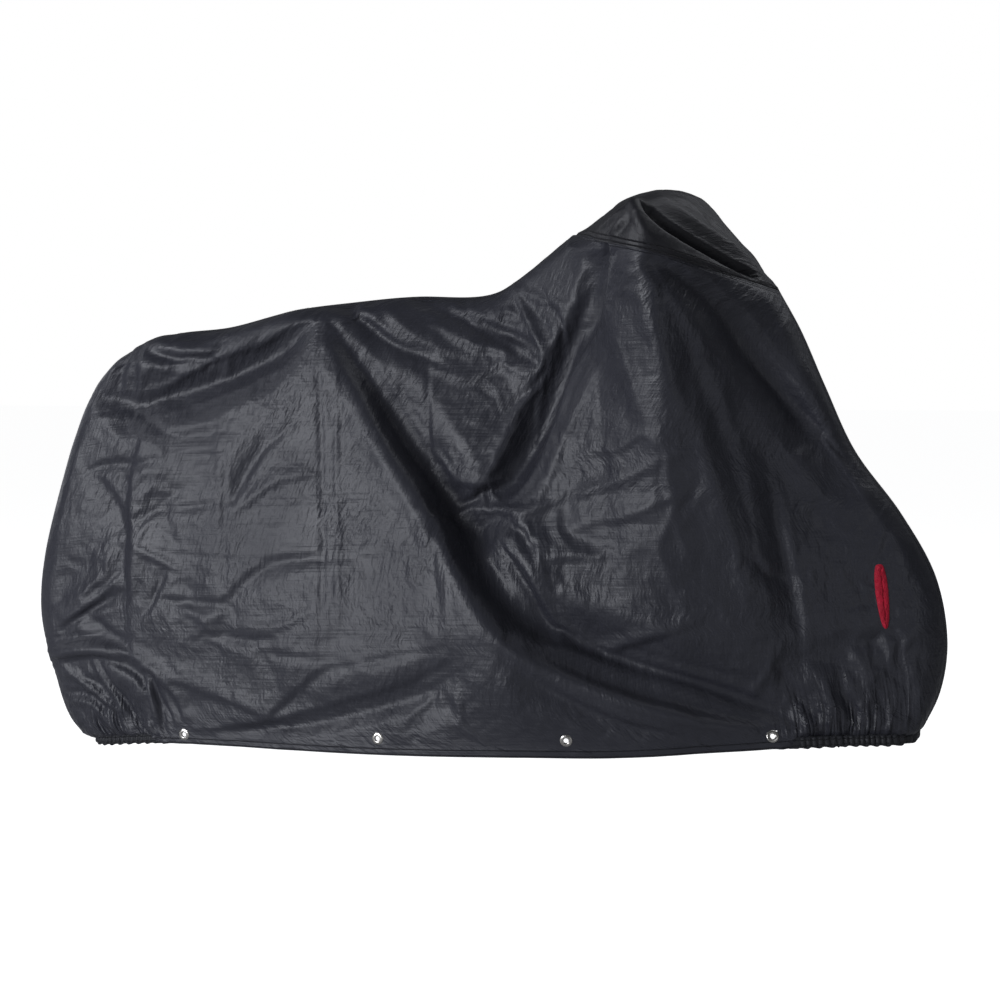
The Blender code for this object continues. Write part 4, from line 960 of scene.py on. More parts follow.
@dataclass
class ShaderEffects:
    """Node groups that the materials share, each with one result."""

    groups: dict[str, NodeTree] = field(default_factory=dict)

    def start(self, name: str, output: str, vector: bool = True,
              **inputs: float) -> tuple[Tree, NodeOutputs, Socket]:
        """Empty group with its sockets.

        Args:
            name: Name of the group.
            output: Name of its output.
            vector: Whether the group also takes a vector.
            **inputs: Its float inputs, with their usual values.

        Returns:
            The tree of the group, what it is given, and the socket of its result.
        """
        group = bpy.data.node_groups.new(name, "ShaderNodeTree")
        if vector:
            group.interface.new_socket(name="Vector", in_out="INPUT",
                                       socket_type="NodeSocketVector")
        for socket, value in inputs.items():
            made = group.interface.new_socket(name=socket, in_out="INPUT",
                                              socket_type="NodeSocketFloat")
            made.default_value = value
        group.interface.new_socket(name=output, in_out="OUTPUT", socket_type="NodeSocketFloat")
        entry = group.nodes.new("NodeGroupInput")
        leave = group.nodes.new("NodeGroupOutput")
        return Tree(group), entry.outputs, leave.inputs[output]

    @built_once
    def taffeta_weave(self) -> NodeTree:
        """Plain weave, with its threads closer one way than the other."""
        tree, given, result = self.start("taffeta_weave", "Height", Pitch=0.0006)
        weft_share = 0.8
        x, y, _ = tree.split(tree.scaled(given["Vector"],
                                         tree.math("DIVIDE", 1.0, given["Pitch"])))
        warp = tree.math("SINE", tree.math("MULTIPLY", x, math.pi))
        weft = tree.math("SINE", tree.math("MULTIPLY", y, math.pi * weft_share))
        crossing = tree.math("MULTIPLY", warp, weft)
        tree.link(tree.math("MULTIPLY_ADD", crossing, 0.5, 0.5), result)
        return tree.tree

    @built_once
    def crinkle(self) -> NodeTree:
        """Small flat facets with sharp creases between them, as crushed cloth keeps."""
        tree, given, result = self.start("crinkle", "Height", Scale=20.0, Warp=0.8, Stretch=1.0)
        place = tree.scaled(given["Vector"], given["Scale"])
        noise = tree.noise(place, Scale=0.11, Detail=1.0, Roughness=0.6)
        warp_x, warp_y, _ = tree.split(noise.outputs["Color"])
        x, y, _ = tree.split(place)
        amount = tree.math("MULTIPLY", given["Warp"], 5.0)
        x = tree.math("MULTIPLY_ADD", warp_x, amount, x)
        y = tree.math("MULTIPLY_ADD", warp_y, amount,
                      tree.math("MULTIPLY", y, given["Stretch"]))
        waves = []
        for angle, rate in ((0.35, 1.0), (1.25, 0.83), (2.3, 0.71), (2.9, 1.37)):
            across = tree.math("MULTIPLY", x, math.cos(angle) * rate)
            both = tree.math("MULTIPLY_ADD", y, math.sin(angle) * rate, across)
            waves.append(tree.math("PINGPONG", both, 0.5))
        high = tree.math("MAXIMUM", *waves[:2])
        low = tree.math("MINIMUM", *waves[2:])
        tree.link(tree.math("ADD", high, low), result)
        return tree.tree

    @built_once
    def pleats(self) -> NodeTree:
        """Fine sharp pleats that run up from an elastic hem and change slowly with height."""
        tree, given, result = self.start("pleats", "Height", Pitch=0.010, Lean=0.35)
        change_up, waves = 9.0, 3.2
        x, y, _ = tree.split(given["Vector"])
        across = tree.math("SUBTRACT", x, tree.math("MULTIPLY", y, given["Lean"]))
        place = tree.joined(tree.math("DIVIDE", across, given["Pitch"]),
                            tree.math("MULTIPLY", y, change_up))
        noise = tree.noise(place, Scale=0.55, Detail=1.5)
        height = tree.math("MULTIPLY", noise.outputs["Fac"], waves)
        tree.link(tree.math("PINGPONG", height, 0.5), result)
        return tree.tree

    @built_once
    def slubs(self) -> NodeTree:
        """Faint streaks of thicker threads, along and across the cloth."""
        tree, given, result = self.start("slubs", "Height", Pitch=0.004)
        scale = tree.math("DIVIDE", 1.0, given["Pitch"])
        heights = []
        for stretch in ((1.0, 0.05, 1.0), (0.05, 1.0, 1.0)):
            place = tree.node("ShaderNodeVectorMath", operation="MULTIPLY")
            tree.link(given["Vector"], place.inputs[0])
            place.inputs[1].default_value = stretch
            noise = tree.noise(place.outputs[0], Scale=scale, Detail=1.0)
            heights.append(noise.outputs["Fac"])
        tree.link(tree.math("ADD", *heights), result)
        return tree.tree

    @built_once
    def seam_groove(self) -> NodeTree:
        """Line that a row of stitches presses into the cloth, at a set distance from an edge."""
        tree, given, result = self.start("seam_groove", "Mask", vector=False, Distance=0.0,
                                         Offset=0.002, Width=0.001)
        away = tree.math("SUBTRACT", given["Distance"], given["Offset"])
        share = tree.math("DIVIDE", tree.math("ABSOLUTE", away), given["Width"])
        tree.link(tree.math("SUBTRACT", 1.0, share, clamp=True), result)
        return tree.tree

    @built_once
    def dust(self) -> NodeTree:
        """Uneven film of dust and handling marks, in soft patches."""
        tree, given, result = self.start("dust", "Mask", Scale=3.0, Amount=0.5)
        noise = tree.noise(given["Vector"], "3D", Scale=given["Scale"], Detail=3.0,
                           Roughness=0.6)
        patch = tree.math("MULTIPLY_ADD", noise.outputs["Fac"], 3.0, -1.0, clamp=True)
        tree.link(tree.math("MULTIPLY", patch, given["Amount"]), result)
        return tree.tree


EFFECTS = ShaderEffects()


# --- finishes

def new_material(name: str) -> tuple[Material, Tree, Node]:
    """New material with its tree and its shader."""
    material = bpy.data.materials.new(name)
    material.use_nodes = True
    return material, Tree(material.node_tree), material.node_tree.nodes["Principled BSDF"]


def darker(colour: Colour, share: float) -> Colour:
    """A share of a colour."""
    return tuple(part * share for part in colour)


class CrinkleLayer(NamedTuple):
    """One size of crinkle, with its share of the finish's crinkle depth."""

    scale: float
    warp: float
    stretch: float
    share: float


CRINKLE_LAYERS = (CrinkleLayer(15.0, 0.28, 0.7, 2.0), CrinkleLayer(38.0, 0.35, 0.8, 0.9),
                  CrinkleLayer(105.0, 0.45, 0.9, 0.45))
GROOVE_WIDTH = 0.0012
GROOVE_DEPTH = 0.0012


@dataclass(frozen=True)
class ClothFinish:
    """Coated taffeta: woven, crinkled, softly shining.

    The groove offsets are distances from the hem, the seam offsets distances from a seam.
    """

    name: str
    colour: Colour
    worn_colour: Colour
    roughness: float
    sheen: float
    crinkle_depth: float
    slub_depth: float
    weave_depth: float
    groove_offsets: tuple[float, ...]
    seam_offsets: tuple[float, ...] = ()
    pleat_depth: float = 0.0

    def material(self) -> Material:
        """Material of the finish.

        Returns:
            A material that reads the UV maps cloth (place on the cloth, in metres), edges
            (distance from the hem and from the nearest seam) and, where it has pleats, gather
            (distance from the gathered end and strength of the pleats).
        """
        material, tree, shader = new_material(self.name)
        cloth = tree.uv_map("cloth")
        above_hem, to_seam, _ = tree.split(tree.uv_map("edges"))
        crushed = tree.effect(EFFECTS.dust(), Vector=cloth, Scale=6.5, Amount=1.0)
        zones = tree.math("MULTIPLY_ADD", crushed, 0.85, 0.15)
        normal = None
        for layer in CRINKLE_LAYERS:
            crinkle = tree.effect(EFFECTS.crinkle(), Vector=cloth, Scale=layer.scale,
                                  Warp=layer.warp, Stretch=layer.stretch)
            height = tree.math("MULTIPLY", crinkle, zones)
            normal = tree.bump(height, self.crinkle_depth * layer.share, normal)
        slubs = tree.effect(EFFECTS.slubs(), Vector=cloth, Pitch=0.0045)
        normal = tree.bump(slubs, self.slub_depth, normal)
        if self.pleat_depth > 0.0:
            distance, weight, _ = tree.split(tree.uv_map("gather"))
            pleats = tree.effect(EFFECTS.pleats(), Vector=tree.joined(distance, above_hem),
                                 Pitch=0.010, Lean=0.35)
            normal = tree.bump(tree.math("MULTIPLY", pleats, weight), self.pleat_depth, normal)
        grooves_and_shade = None
        for distance, offsets in ((above_hem, self.groove_offsets),
                                  (to_seam, self.seam_offsets)):
            for offset in offsets:
                groove = tree.effect(EFFECTS.seam_groove(), Distance=distance, Offset=offset,
                                     Width=GROOVE_WIDTH)
                grooves_and_shade = groove if grooves_and_shade is None else tree.math("MAXIMUM", grooves_and_shade, groove)
        normal = tree.bump(tree.math("SUBTRACT", 1.0, grooves_and_shade), GROOVE_DEPTH, normal)
        weave = tree.effect(EFFECTS.taffeta_weave(), Vector=cloth, Pitch=0.0007)
        normal = tree.bump(weave, self.weave_depth, normal)
        dust = tree.effect(EFFECTS.dust(), Vector=cloth, Scale=4.0, Amount=1.0)
        colour = tree.mix_colour(dust, self.colour, self.worn_colour)
        # Painted shade: the colour is darkened inside the stitch grooves, where shade falls.
        colour = tree.mix_colour(tree.math("MULTIPLY", grooves_and_shade, 0.55), colour,
                                 darker(self.colour, 0.35))
        rough = tree.math("MULTIPLY_ADD", dust, 0.12, self.roughness - 0.05)
        rough = tree.math("MULTIPLY_ADD", weave, 0.04, rough)
        tree.feed(shader, {"Normal": normal, "Base Color": colour, "Roughness": rough,
                           "Sheen Weight": self.sheen, "Sheen Roughness": 0.45,
                           "Specular IOR Level": 0.5})
        return material


@dataclass(frozen=True)
class TapeFinish:
    """Woven tape with a rib across it."""

    name: str
    colour: Colour
    deep_colour: Colour
    roughness: float
    rib: float

    def material(self) -> Material:
        """Material of the tape, which reads the UV map cloth in metres."""
        material, tree, shader = new_material(self.name)
        cloth = tree.uv_map("cloth")
        weave = tree.effect(EFFECTS.taffeta_weave(), Vector=cloth, Pitch=self.rib)
        patches = tree.effect(EFFECTS.dust(), Vector=cloth, Scale=60.0, Amount=0.9)
        crinkle = tree.effect(EFFECTS.crinkle(), Vector=cloth, Scale=120.0, Warp=0.5)
        shade = tree.math("MULTIPLY_ADD", weave, 0.35, patches, clamp=True)
        tree.feed(shader, {
            "Normal": tree.bump(weave, 0.00012, tree.bump(crinkle, 0.0012)),
            "Base Color": tree.mix_colour(shade, self.deep_colour, self.colour),
            "Roughness": tree.math("MULTIPLY_ADD", shade, 0.10, self.roughness),
            "Sheen Weight": 0.10, "Specular IOR Level": 0.30})
        return material


@dataclass(frozen=True)
class ThreadFinish:
    """Twisted sewing thread."""

    name: str
    colour: Colour

    def material(self) -> Material:
        """Material of the thread, with its twist placed by the object's coordinates."""
        material, tree, shader = new_material(self.name)
        place = tree.node("ShaderNodeTexCoord").outputs["Object"]
        twist = tree.effect(EFFECTS.taffeta_weave(), Vector=place, Pitch=0.0004)
        tree.feed(shader, {
            "Normal": tree.bump(twist, 0.0001), "Roughness": 0.5,
            "Base Color": tree.mix_colour(twist, darker(self.colour, 0.6), self.colour)})
        return material


@dataclass(frozen=True)
class MetalFinish:
    """Plated metal, brushed by use."""

    name: str
    colour: Colour
    tarnish: Colour
    roughness: float

    def material(self) -> Material:
        """Material of the metal, with fine scratches and a tarnish in patches."""
        material, tree, shader = new_material(self.name)
        place = tree.node("ShaderNodeTexCoord").outputs["Object"]
        patches = tree.effect(EFFECTS.dust(), Vector=place, Scale=180.0, Amount=0.6)
        scratches = tree.effect(EFFECTS.crinkle(), Vector=place, Scale=900.0, Warp=0.4)
        tree.feed(shader, {
            "Normal": tree.bump(scratches, 0.00006), "Metallic": 1.0,
            "Base Color": tree.mix_colour(patches, self.colour, self.tarnish),
            "Roughness": tree.math("MULTIPLY_ADD", patches, 0.18, self.roughness)})
        return material


PANEL_CLOTH = ClothFinish("black_coated_taffeta", (0.032, 0.033, 0.043), (0.039, 0.040, 0.051),
                          0.41, 0.03, 0.0015, 0.00045, 0.00002, (0.003, 0.0145), (0.004, 0.009),
                          0.0095)
# Painted shade: the cap's cloth is a darker copy of the sides' cloth, standing in for the shade on
# the cap.
CAP_CLOTH_PAINTED_SHADE = ClothFinish("black_cap_taffeta", (0.014, 0.014, 0.018), (0.019, 0.019, 0.024),
                        0.45, 0.03, 0.0010, 0.00030, 0.00002, (0.003, 0.009))
ELASTIC_CLOTH = ClothFinish("black_elastic_hem", (0.018, 0.019, 0.024), (0.025, 0.026, 0.031),
                            0.50, 0.05, 0.0006, 0.00030, 0.00002, (0.004, 0.014))
RED_TAPE = TapeFinish("red_slot_tape", (0.64, 0.014, 0.048), (0.42, 0.008, 0.028), 0.58, 0.0011)
BLACK_THREAD = ThreadFinish("black_thread", (0.020, 0.020, 0.024))
NICKEL = MetalFinish("nickel_plate", (0.76, 0.74, 0.70), (0.52, 0.49, 0.44), 0.16)


# --- sub-assemblies

@dataclass
class Probe:
    """Finds places on a finished grid of cloth, looking at it from its own side."""

    grid: Array
    sign: float
    tree: BVHTree = field(init=False)

    def __post_init__(self) -> None:
        """Build the search tree of the grid's cells."""
        rows, columns = self.grid.shape[:2]
        index = np.arange(rows * columns).reshape(rows, columns)
        quads = np.stack([index[:-1, :-1], index[:-1, 1:], index[1:, 1:], index[1:, :-1]],
                         axis=2).reshape(-1, 4)
        self.tree = BVHTree.FromPolygons(self.grid.reshape(-1, 3).tolist(), quads.tolist())

    def at(self, x: float, z: float) -> tuple[Vector, Vector]:
        """Point and outward normal of the cloth at a side-view place."""
        start = Vector((x, self.sign * 2.0, z))
        point, normal, _, _ = self.tree.ray_cast(start, Vector((0.0, -self.sign, 0.0)))
        if point is None:
            point, normal, _, _ = self.tree.find_nearest(Vector((x, self.sign * 0.1, z)))
        if normal.y * self.sign < 0.0:
            normal = -normal
        return point, normal


# Share of the stitch's length, height and size of each ring, the last two in radii.
STITCH_RINGS = ((0.0, -0.9, 0.35), (0.22, 0.6, 1.0), (0.78, 0.6, 1.0), (1.0, -0.9, 0.35))


@dataclass
class StitchRow:
    """Rows of sewn stitches, each a short rounded bar that dips at its ends."""

    name: str
    pitch: float = 0.0034
    stitch: float = 0.0027
    radius: float = 0.00038
    lift: float = 0.00012
    points: list[Array] = field(default_factory=list)
    faces: list[Array] = field(default_factory=list)
    count: int = 0

    def add(self, line: Array, normals: Array) -> None:
        """Sew along a line.

        Args:
            line: Points along the row, on the face of the cloth.
            normals: Outward normals of the cloth at those points.
        """
        reach = run_lengths(line, 0)
        number = int(reach[-1] / self.pitch)
        if number < 1:
            return
        starts = (np.arange(number) + 0.1) * self.pitch
        rings = []
        for share, sink, size in STITCH_RINGS:
            at = starts + share * self.stitch
            normal = unit(between(at, reach, normals))
            ahead = unit(between(at + 1e-4, reach, line) - between(at - 1e-4, reach, line))
            side = np.cross(normal, ahead)
            centre = between(at, reach, line) + normal * (self.lift + sink * self.radius)
            ring = [centre + (normal * math.sin(a) + side * math.cos(a)) * self.radius * size
                    for a in (0.0, 0.5 * math.pi, math.pi, 1.5 * math.pi)]
            rings.append(np.stack(ring, axis=1))
        block = np.stack(rings, axis=1)
        base = np.arange(number)[:, None] * 16 + self.count
        cell = [[ring + k, ring + (k + 1) % 4, ring + 4 + (k + 1) % 4, ring + 4 + k]
                for ring in (0, 4, 8) for k in range(4)]
        cell += [[3, 2, 1, 0], [12, 13, 14, 15]]
        self.points.append(block.reshape(-1, 3))
        self.faces.append((base[:, :, None] + np.array(cell)[None]).reshape(-1, 4))
        self.count += number * 16

    def build(self) -> Object:
        """Object of all the rows sewn so far."""
        mesh = bpy.data.meshes.new(self.name)
        points = np.concatenate(self.points) - REST_POINT
        mesh.from_pydata(points.tolist(), [], np.concatenate(self.faces).tolist())
        thing = placed_object(mesh)
        thing.data.materials.append(shared_material(BLACK_THREAD))
        return thing


MATERIALS: dict[str, Material] = {}


def shared_material(finish: ClothFinish | TapeFinish | ThreadFinish | MetalFinish
                    ) -> Material:
    """Material of a finish, made once."""
    if finish.name not in MATERIALS:
        MATERIALS[finish.name] = finish.material()
    return MATERIALS[finish.name]


def report(thing: Object) -> None:
    """Log a finished piece."""
    LOG.info("%s: %d points, %d faces", thing.name, len(thing.data.vertices),
             len(thing.data.polygons))


def widened(values: Array, reach: int) -> Array:
    """Moving average of a grid, over a square of cells."""
    size = 2 * reach + 1
    for axis in (0, 1):
        ends = [(0, 0), (0, 0)]
        ends[axis] = (reach + 1, reach)
        total = np.cumsum(np.pad(values, ends, mode="edge"), axis=axis)
        high = np.take(total, range(size, total.shape[axis]), axis=axis)
        low = np.take(total, range(total.shape[axis] - size), axis=axis)
        values = (high - low) / size
    return values


@dataclass(frozen=True)
class Settling:
    """Lets formed cloth settle until its threads neither stretch nor shrink.

    Soft mounds then break into flat facets and crisp folds, as thin woven cloth does.
    """

    rounds: int = 110
    stretch: float = 0.9      # stiffness of the threads, from 0 to 1
    bend: float = 0.10        # stiffness in bending
    pull: float = 0.012       # how strongly the cloth is drawn back to its form
    slack: float = 0.003      # share of cloth to spare
    reach: float = 0.009      # furthest that a point may move
    spread: int = 7           # cells over which the spare cloth is shared out

    def settle(self, base: Array, formed: Array, free: Array) -> Array:
        """Settled places of the cloth.

        Args:
            base: Grid of the form without its small creases.
            formed: Grid with its creases.
            free: How freely each point moves, 0 where it is held.

        Returns:
            Grid of the settled cloth.
        """
        rows, columns = free.shape
        index = np.arange(rows * columns).reshape(rows, columns)
        links = []
        for down, over in ((0, 1), (1, 0), (1, 1), (1, -1), (0, 2), (2, 0)):
            r0, r1 = slice(0, rows - down), slice(down, rows)
            c0 = slice(max(-over, 0), columns - max(over, 0))
            c1 = slice(max(over, 0), columns - max(-over, 0))
            first = np.linalg.norm(base[r0, c0] - base[r1, c1], axis=2)
            now = np.linalg.norm(formed[r0, c0] - formed[r1, c1], axis=2)
            share = widened((now / np.maximum(first, 1e-6))**2, self.spread)
            rest = first * np.sqrt(share) * (1.0 + self.slack)
            bends = max(down, abs(over)) == 2
            order = np.arange(rest.shape[0])[:, None] if down else np.arange(rest.shape[1])[None]
            parity = (order // 2 if bends else order) % 2 + np.zeros(rest.shape, int)
            for half in (0, 1):
                keep = parity == half
                links.append((index[r0, c0][keep], index[r1, c1][keep], rest[keep],
                              self.bend if bends else self.stretch))
        points = formed.reshape(-1, 3).copy()
        target = points.copy()
        weight = free.ravel()
        pairs = []
        for a, b, rest, strength in links:
            total = weight[a] + weight[b]
            scale = strength / np.maximum(total, 1e-6)
            pairs.append((a, b, rest, (weight[a] * scale)[:, None], (weight[b] * scale)[:, None]))
        for _ in range(self.rounds):
            for a, b, rest, share_a, share_b in pairs:
                gap = points[b] - points[a]
                length = np.sqrt(np.einsum("ij,ij->i", gap, gap)) + 1e-9
                gap *= ((length - rest) / length)[:, None]
                points[a] += gap * share_a
                points[b] -= gap * share_b
            points += (target - points) * self.pull
        moved = points - target
        far = np.linalg.norm(moved, axis=1, keepdims=True)
        moved *= np.minimum(1.0, self.reach / np.maximum(far, 1e-9))
        return (target + moved).reshape(formed.shape)


SETTLING = Settling()


@dataclass
class SidePanel:
    """One side of the cover, from its hem to the centre seam and the seam of the cap."""

    side: SideName
    main_folds: Sequence[Fold]
    creases: Sequence[Fold]
    zones: Sequence[CrumpleZone]
    column_step: float
    row_step: float
    crumple_seed: int
    outer: Array = field(init=False)
    normals: Array = field(init=False)
    places: Array = field(init=False)
    rises: Array = field(init=False)
    probe: Probe = field(init=False)
    eyelet_frames: list[tuple[Vector, Vector]] = field(default_factory=list)

    def columns(self) -> Array:
        """Column fractions, close together round the two ends."""
        angles = np.linspace(0.0, math.pi / 2, 13)
        nose = NOSE_ROUND / FORM.length * (1.0 - np.cos(angles))
        count = round((1.0 - 2.0 * nose[-1]) * FORM.length / self.column_step)
        middle = np.linspace(nose[-1], 1.0 - nose[-1], count + 1)
        return np.concatenate((nose[:-1], middle, (1.0 - nose[:-1])[::-1]))

    def heights(self, tall: Array) -> Array:
        """Heights above the hem of each row in each column, for columns of the given height."""
        angles = np.linspace(math.pi / 2, 0.0, 10)
        roof = TOP_ROUND * (1.0 - np.cos(angles))
        low = HEM_ROWS[-1]
        count = round((USUAL_HEIGHT - low - TOP_ROUND) / self.row_step)
        shares = np.linspace(0.0, 1.0, count + 1)[1:-1]
        rows = [np.full(len(tall), height) for height in HEM_ROWS]
        rows += [low + (tall - TOP_ROUND - low) * share for share in shares]
        rows += [tall - depth for depth in roof]
        return np.array(rows)

    def shape(self) -> None:
        """Work out the outer face: form, main folds, creases, crumples and gathers."""
        u = self.columns()
        tall = FORM.height(u)
        rises = self.heights(tall)
        rows, columns = rises.shape
        u_all = np.broadcast_to(u, rises.shape).ravel()
        t_all = (rises / tall).ravel()
        points, places = FORM.surface(self.side.value, self.main_folds, u_all, t_all)
        grid = points.reshape(rows, columns, 3)
        normals = grid_normals(grid) * -self.side.value
        flat = np.clip(normals[:, :, 1] * self.side.value, 0.0, 1.0)
        normals[:, :, 1] = self.side.value * flat
        self.rises, self.places = rises, places.reshape(rows, columns, 2)
        push = self.detail(u_all, places, rises.ravel(), (tall - rises).ravel())
        formed = grid + normals * push.reshape(rows, columns)[:, :, None]
        formed = SETTLING.settle(grid, formed, self.freedom(u, tall))
        grid = formed
        grid[:, :, 1] = self.side.value * np.maximum(self.side.value * grid[:, :, 1], 0.0)
        grid[:, [0, -1], 1] = 0.0
        self.outer = self.flatten_eyelets(grid)
        self.normals = grid_normals(self.outer) * -self.side.value
        self.probe = Probe(self.outer, self.side.value)

    def detail(self, u: Array, places: Array, rise: Array,
               below_top: Array) -> Array:
        """Offsets of the finer forms along the normals.

        Args:
            u: Fractions from rear to front.
            places: Side-view places.
            rise: Heights above the hem.
            below_top: Heights below the top edge.

        Returns:
            One offset for each point.
        """
        to_end = np.minimum(u, 1.0 - u) * FORM.length
        creases = sum(fold.faceted().offset(places) for fold in self.creases)
        strength = np.full(len(u), CALM_FACETS)
        for zone in self.zones:
            q = np.hypot((places[:, 0] - zone.x) / zone.reach_x,
                         (places[:, 1] - zone.z) / zone.reach_z)
            inside = 1.0 - smooth(CRUMPLE_CORE, 1.0, q)
            strength = np.maximum(strength, CALM_FACETS + zone.share * inside)
        facets = sum(replace(layer, seed=layer.seed + self.crumple_seed).offset(places)
                     for layer in FACETS)
        calm = smooth(0.0, CALM_END, to_end) * smooth(0.0, CALM_TOP, below_top)
        calm = calm * (HEM_CREASES + (1.0 - HEM_CREASES) * smooth(0.01, 0.06, rise))
        push = (creases + facets * strength) * calm + self.gathers(u, rise)
        hem = 1.0 - smooth(*HEM_STEP, rise)
        return push + HEM_PROUD * hem * smooth(0.0, 0.002, rise + 0.0012)

    def freedom(self, u: Array, tall: Array) -> Array:
        """How freely each point moves: not at all on the seams, the hem and the slot."""
        to_end = (np.minimum(u, 1.0 - u) * FORM.length)[None, :]
        free = smooth(0.004, 0.040, to_end) * smooth(HEM_HEIGHT, HEM_HEIGHT + 0.03, self.rises)
        free = free * smooth(0.004, 0.035, tall[None, :] - self.rises)
        away = np.hypot((self.places[:, :, 0] - SLOT_CENTRE.x) / SLOT_HELD[0],
                        (self.places[:, :, 1] - SLOT_CENTRE.z) / SLOT_HELD[1])
        return free * smooth(0.7, 1.3, away)

    def gathers(self, u: Array, rise: Array) -> Array:
        """Offsets of the pleats over the elastic at both ends, and the tuck into its tunnel."""
        offsets = np.zeros(len(u))
        for end in End:
            distance = abs(u - end.u) * FORM.length
            length = abs(FORM.u_at_hem(end.start_x) - end.u) * FORM.length
            pleats = sum(replace(gather, length=length + gather.length,
                                 seed=end.pleat_seed + gather.seed).offset(distance, rise)
                         for gather in GATHERS)
            inside = 1.0 - smooth(length - 0.012, length + 0.004, distance)
            tuck = TUCK * inside * (1.0 - smooth(0.012, 0.024, rise))
            above = 1.0 - inside * (1.0 - smooth(0.008, 0.030, rise))
            offsets += pleats * above - tuck
        return offsets

    def gather_map(self, u: Array) -> Array:
        """Distance from the gathered end of the hem, and how strongly the cloth is pleated."""
        places = np.zeros(self.rises.shape + (2,))
        for end in End:
            length = abs(FORM.u_at_hem(end.start_x) - end.u) * FORM.length
            distance = np.broadcast_to(abs(u - end.u) * FORM.length, self.rises.shape)
            fan = length * 1.05 + 0.25 * self.rises
            inside = 1.0 - smooth(0.80, 1.15, distance / fan)
            fade = np.clip(1.0 - self.rises / PLEAT_HEIGHT, 0.0, 1.0) ** 1.6
            weight = inside * fade * smooth(HEM_HEIGHT, HEM_HEIGHT + 0.012, self.rises)
            near = distance < FORM.length * 0.5
            places[near] = np.stack([distance + END_SHIFT * end.u, weight], axis=2)[near]
        return places

    def flatten_eyelets(self, grid: Array) -> Array:
        """Grid with a flat round place, and a round edge of cells, at each eyelet."""
        reach, window = 4, 0.03
        for x, height in EYELET_STATIONS:
            column = int(abs(self.columns() - FORM.u_at_hem(x)).argmin())
            row = int(abs(self.rises[:, column] - height).argmin())
            frame_points = grid[max(row - reach, 0):row + reach + 1,
                                column - reach:column + reach + 1].reshape(-1, 3)
            u = np.array([FORM.u_at_hem(x)])
            target = FORM.side_view(u, np.array([height]) / FORM.height(u))[0]
            centre = frame_points.mean(axis=0)
            _, _, axes = np.linalg.svd(frame_points - centre)
            normal = axes[2] * np.sign(axes[2][1]) * self.side.value
            offset = ((target[0] - centre[0]) * normal[0] + (target[1] - centre[2]) * normal[2])
            centre = np.array((target[0], centre[1] - offset / normal[1], target[1]))
            away = grid - centre
            rise = away @ normal
            flat_away = away - rise[:, :, None] * normal
            distance = np.linalg.norm(flat_away, axis=2)
            near = (1.0 - smooth(*EYELET_FLAT, distance)) * (abs(rise) < window)
            grid = grid - (near * rise)[:, :, None] * normal
            ring = (distance > CUT_RING[0]) & (distance < CUT_RING[1]) & (abs(rise) < window)
            push = np.maximum(CUT_RADIUS / np.maximum(distance, 1e-5), 1.0)
            moved = centre + flat_away * push[:, :, None]
            grid = np.where(ring[:, :, None], moved, grid)
            self.eyelet_frames.append((Vector(centre), Vector(normal)))
        return grid

    def holes(self) -> Array:
        """Mask of the cells inside the eyelets and the slit of the lock slot."""
        inside = np.zeros(self.outer.shape[:2], bool)
        for centre, _ in self.eyelet_frames:
            inside |= np.linalg.norm(self.outer - np.array(centre), axis=2) < CUT_INSIDE
        mask = inside[:-1, :-1] | inside[1:, :-1] | inside[:-1, 1:] | inside[1:, 1:]
        cells = (self.outer[:-1, :-1] + self.outer[1:, 1:]) / 2.0
        dx, dz = cells[:, :, 0] - SLOT_CENTRE.x, cells[:, :, 2] - SLOT_CENTRE.z
        along_slot = dz * math.cos(SLOT_LEAN) - dx * math.sin(SLOT_LEAN)
        across = dx * math.cos(SLOT_LEAN) + dz * math.sin(SLOT_LEAN)
        return mask | ((abs(along_slot) < SLIT[0]) & (abs(across) < SLIT[1]))

    def build(self) -> Object:
        """Sheet of the side, dressed."""
        u = self.columns()
        round_end = 1.4     # length of cloth round an end for each metre of the side view
        to_end = np.minimum(u, 1.0 - u) * FORM.length * round_end
        to_seam = np.minimum(self.rises[-1] - self.rises, np.maximum(to_end, 0.0))
        maps = {"cloth": np.stack([run_lengths(self.outer, 1), self.rises], axis=2),
                "edges": np.stack([self.rises, to_seam], axis=2),
                "gather": self.gather_map(u)}
        inner = self.outer - self.normals * CLOTH
        inner[:, :, 1] = self.side.value * np.maximum(self.side.value * inner[:, :, 1], 0.0)
        thing = sheet_object(f"{self.side.label}_side_cloth", self.outer, inner, maps,
                             self.holes())
        thing.data.materials.append(shared_material(PANEL_CLOTH))
        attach(thing, BODY)
        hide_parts(f"{self.side.label}_side_panel", f"{self.side.label}_hem_strip")
        report(thing)
        return thing

    def sew(self, row: StitchRow) -> None:
        """Sew the two rows of the hem and the rows beside the centre seam."""
        u = self.columns()
        past = 0.004
        start, end = (FORM.u_at_hem(end.start_x) for end in End)
        c = np.flatnonzero((u > start - past) & (u < end + past))
        for height in HEM_STITCHES:
            share = np.array([np.interp(height, self.rises[:8, k], np.arange(8)) for k in c])
            low = np.floor(share).astype(int)
            part = (share - low)[:, None]
            line = self.outer[low, c] * (1 - part) + self.outer[low + 1, c] * part
            normal = self.normals[low, c] * (1 - part) + self.normals[low + 1, c] * part
            row.add(line, normal)
        split = FORM.cap_share()
        spine = np.flatnonzero(u < split - past)
        row.add(self.outer[-4, spine], self.normals[-4, spine])
        for column in (3, -4):
            row.add(self.outer[3:-4, column], self.normals[3:-4, column])


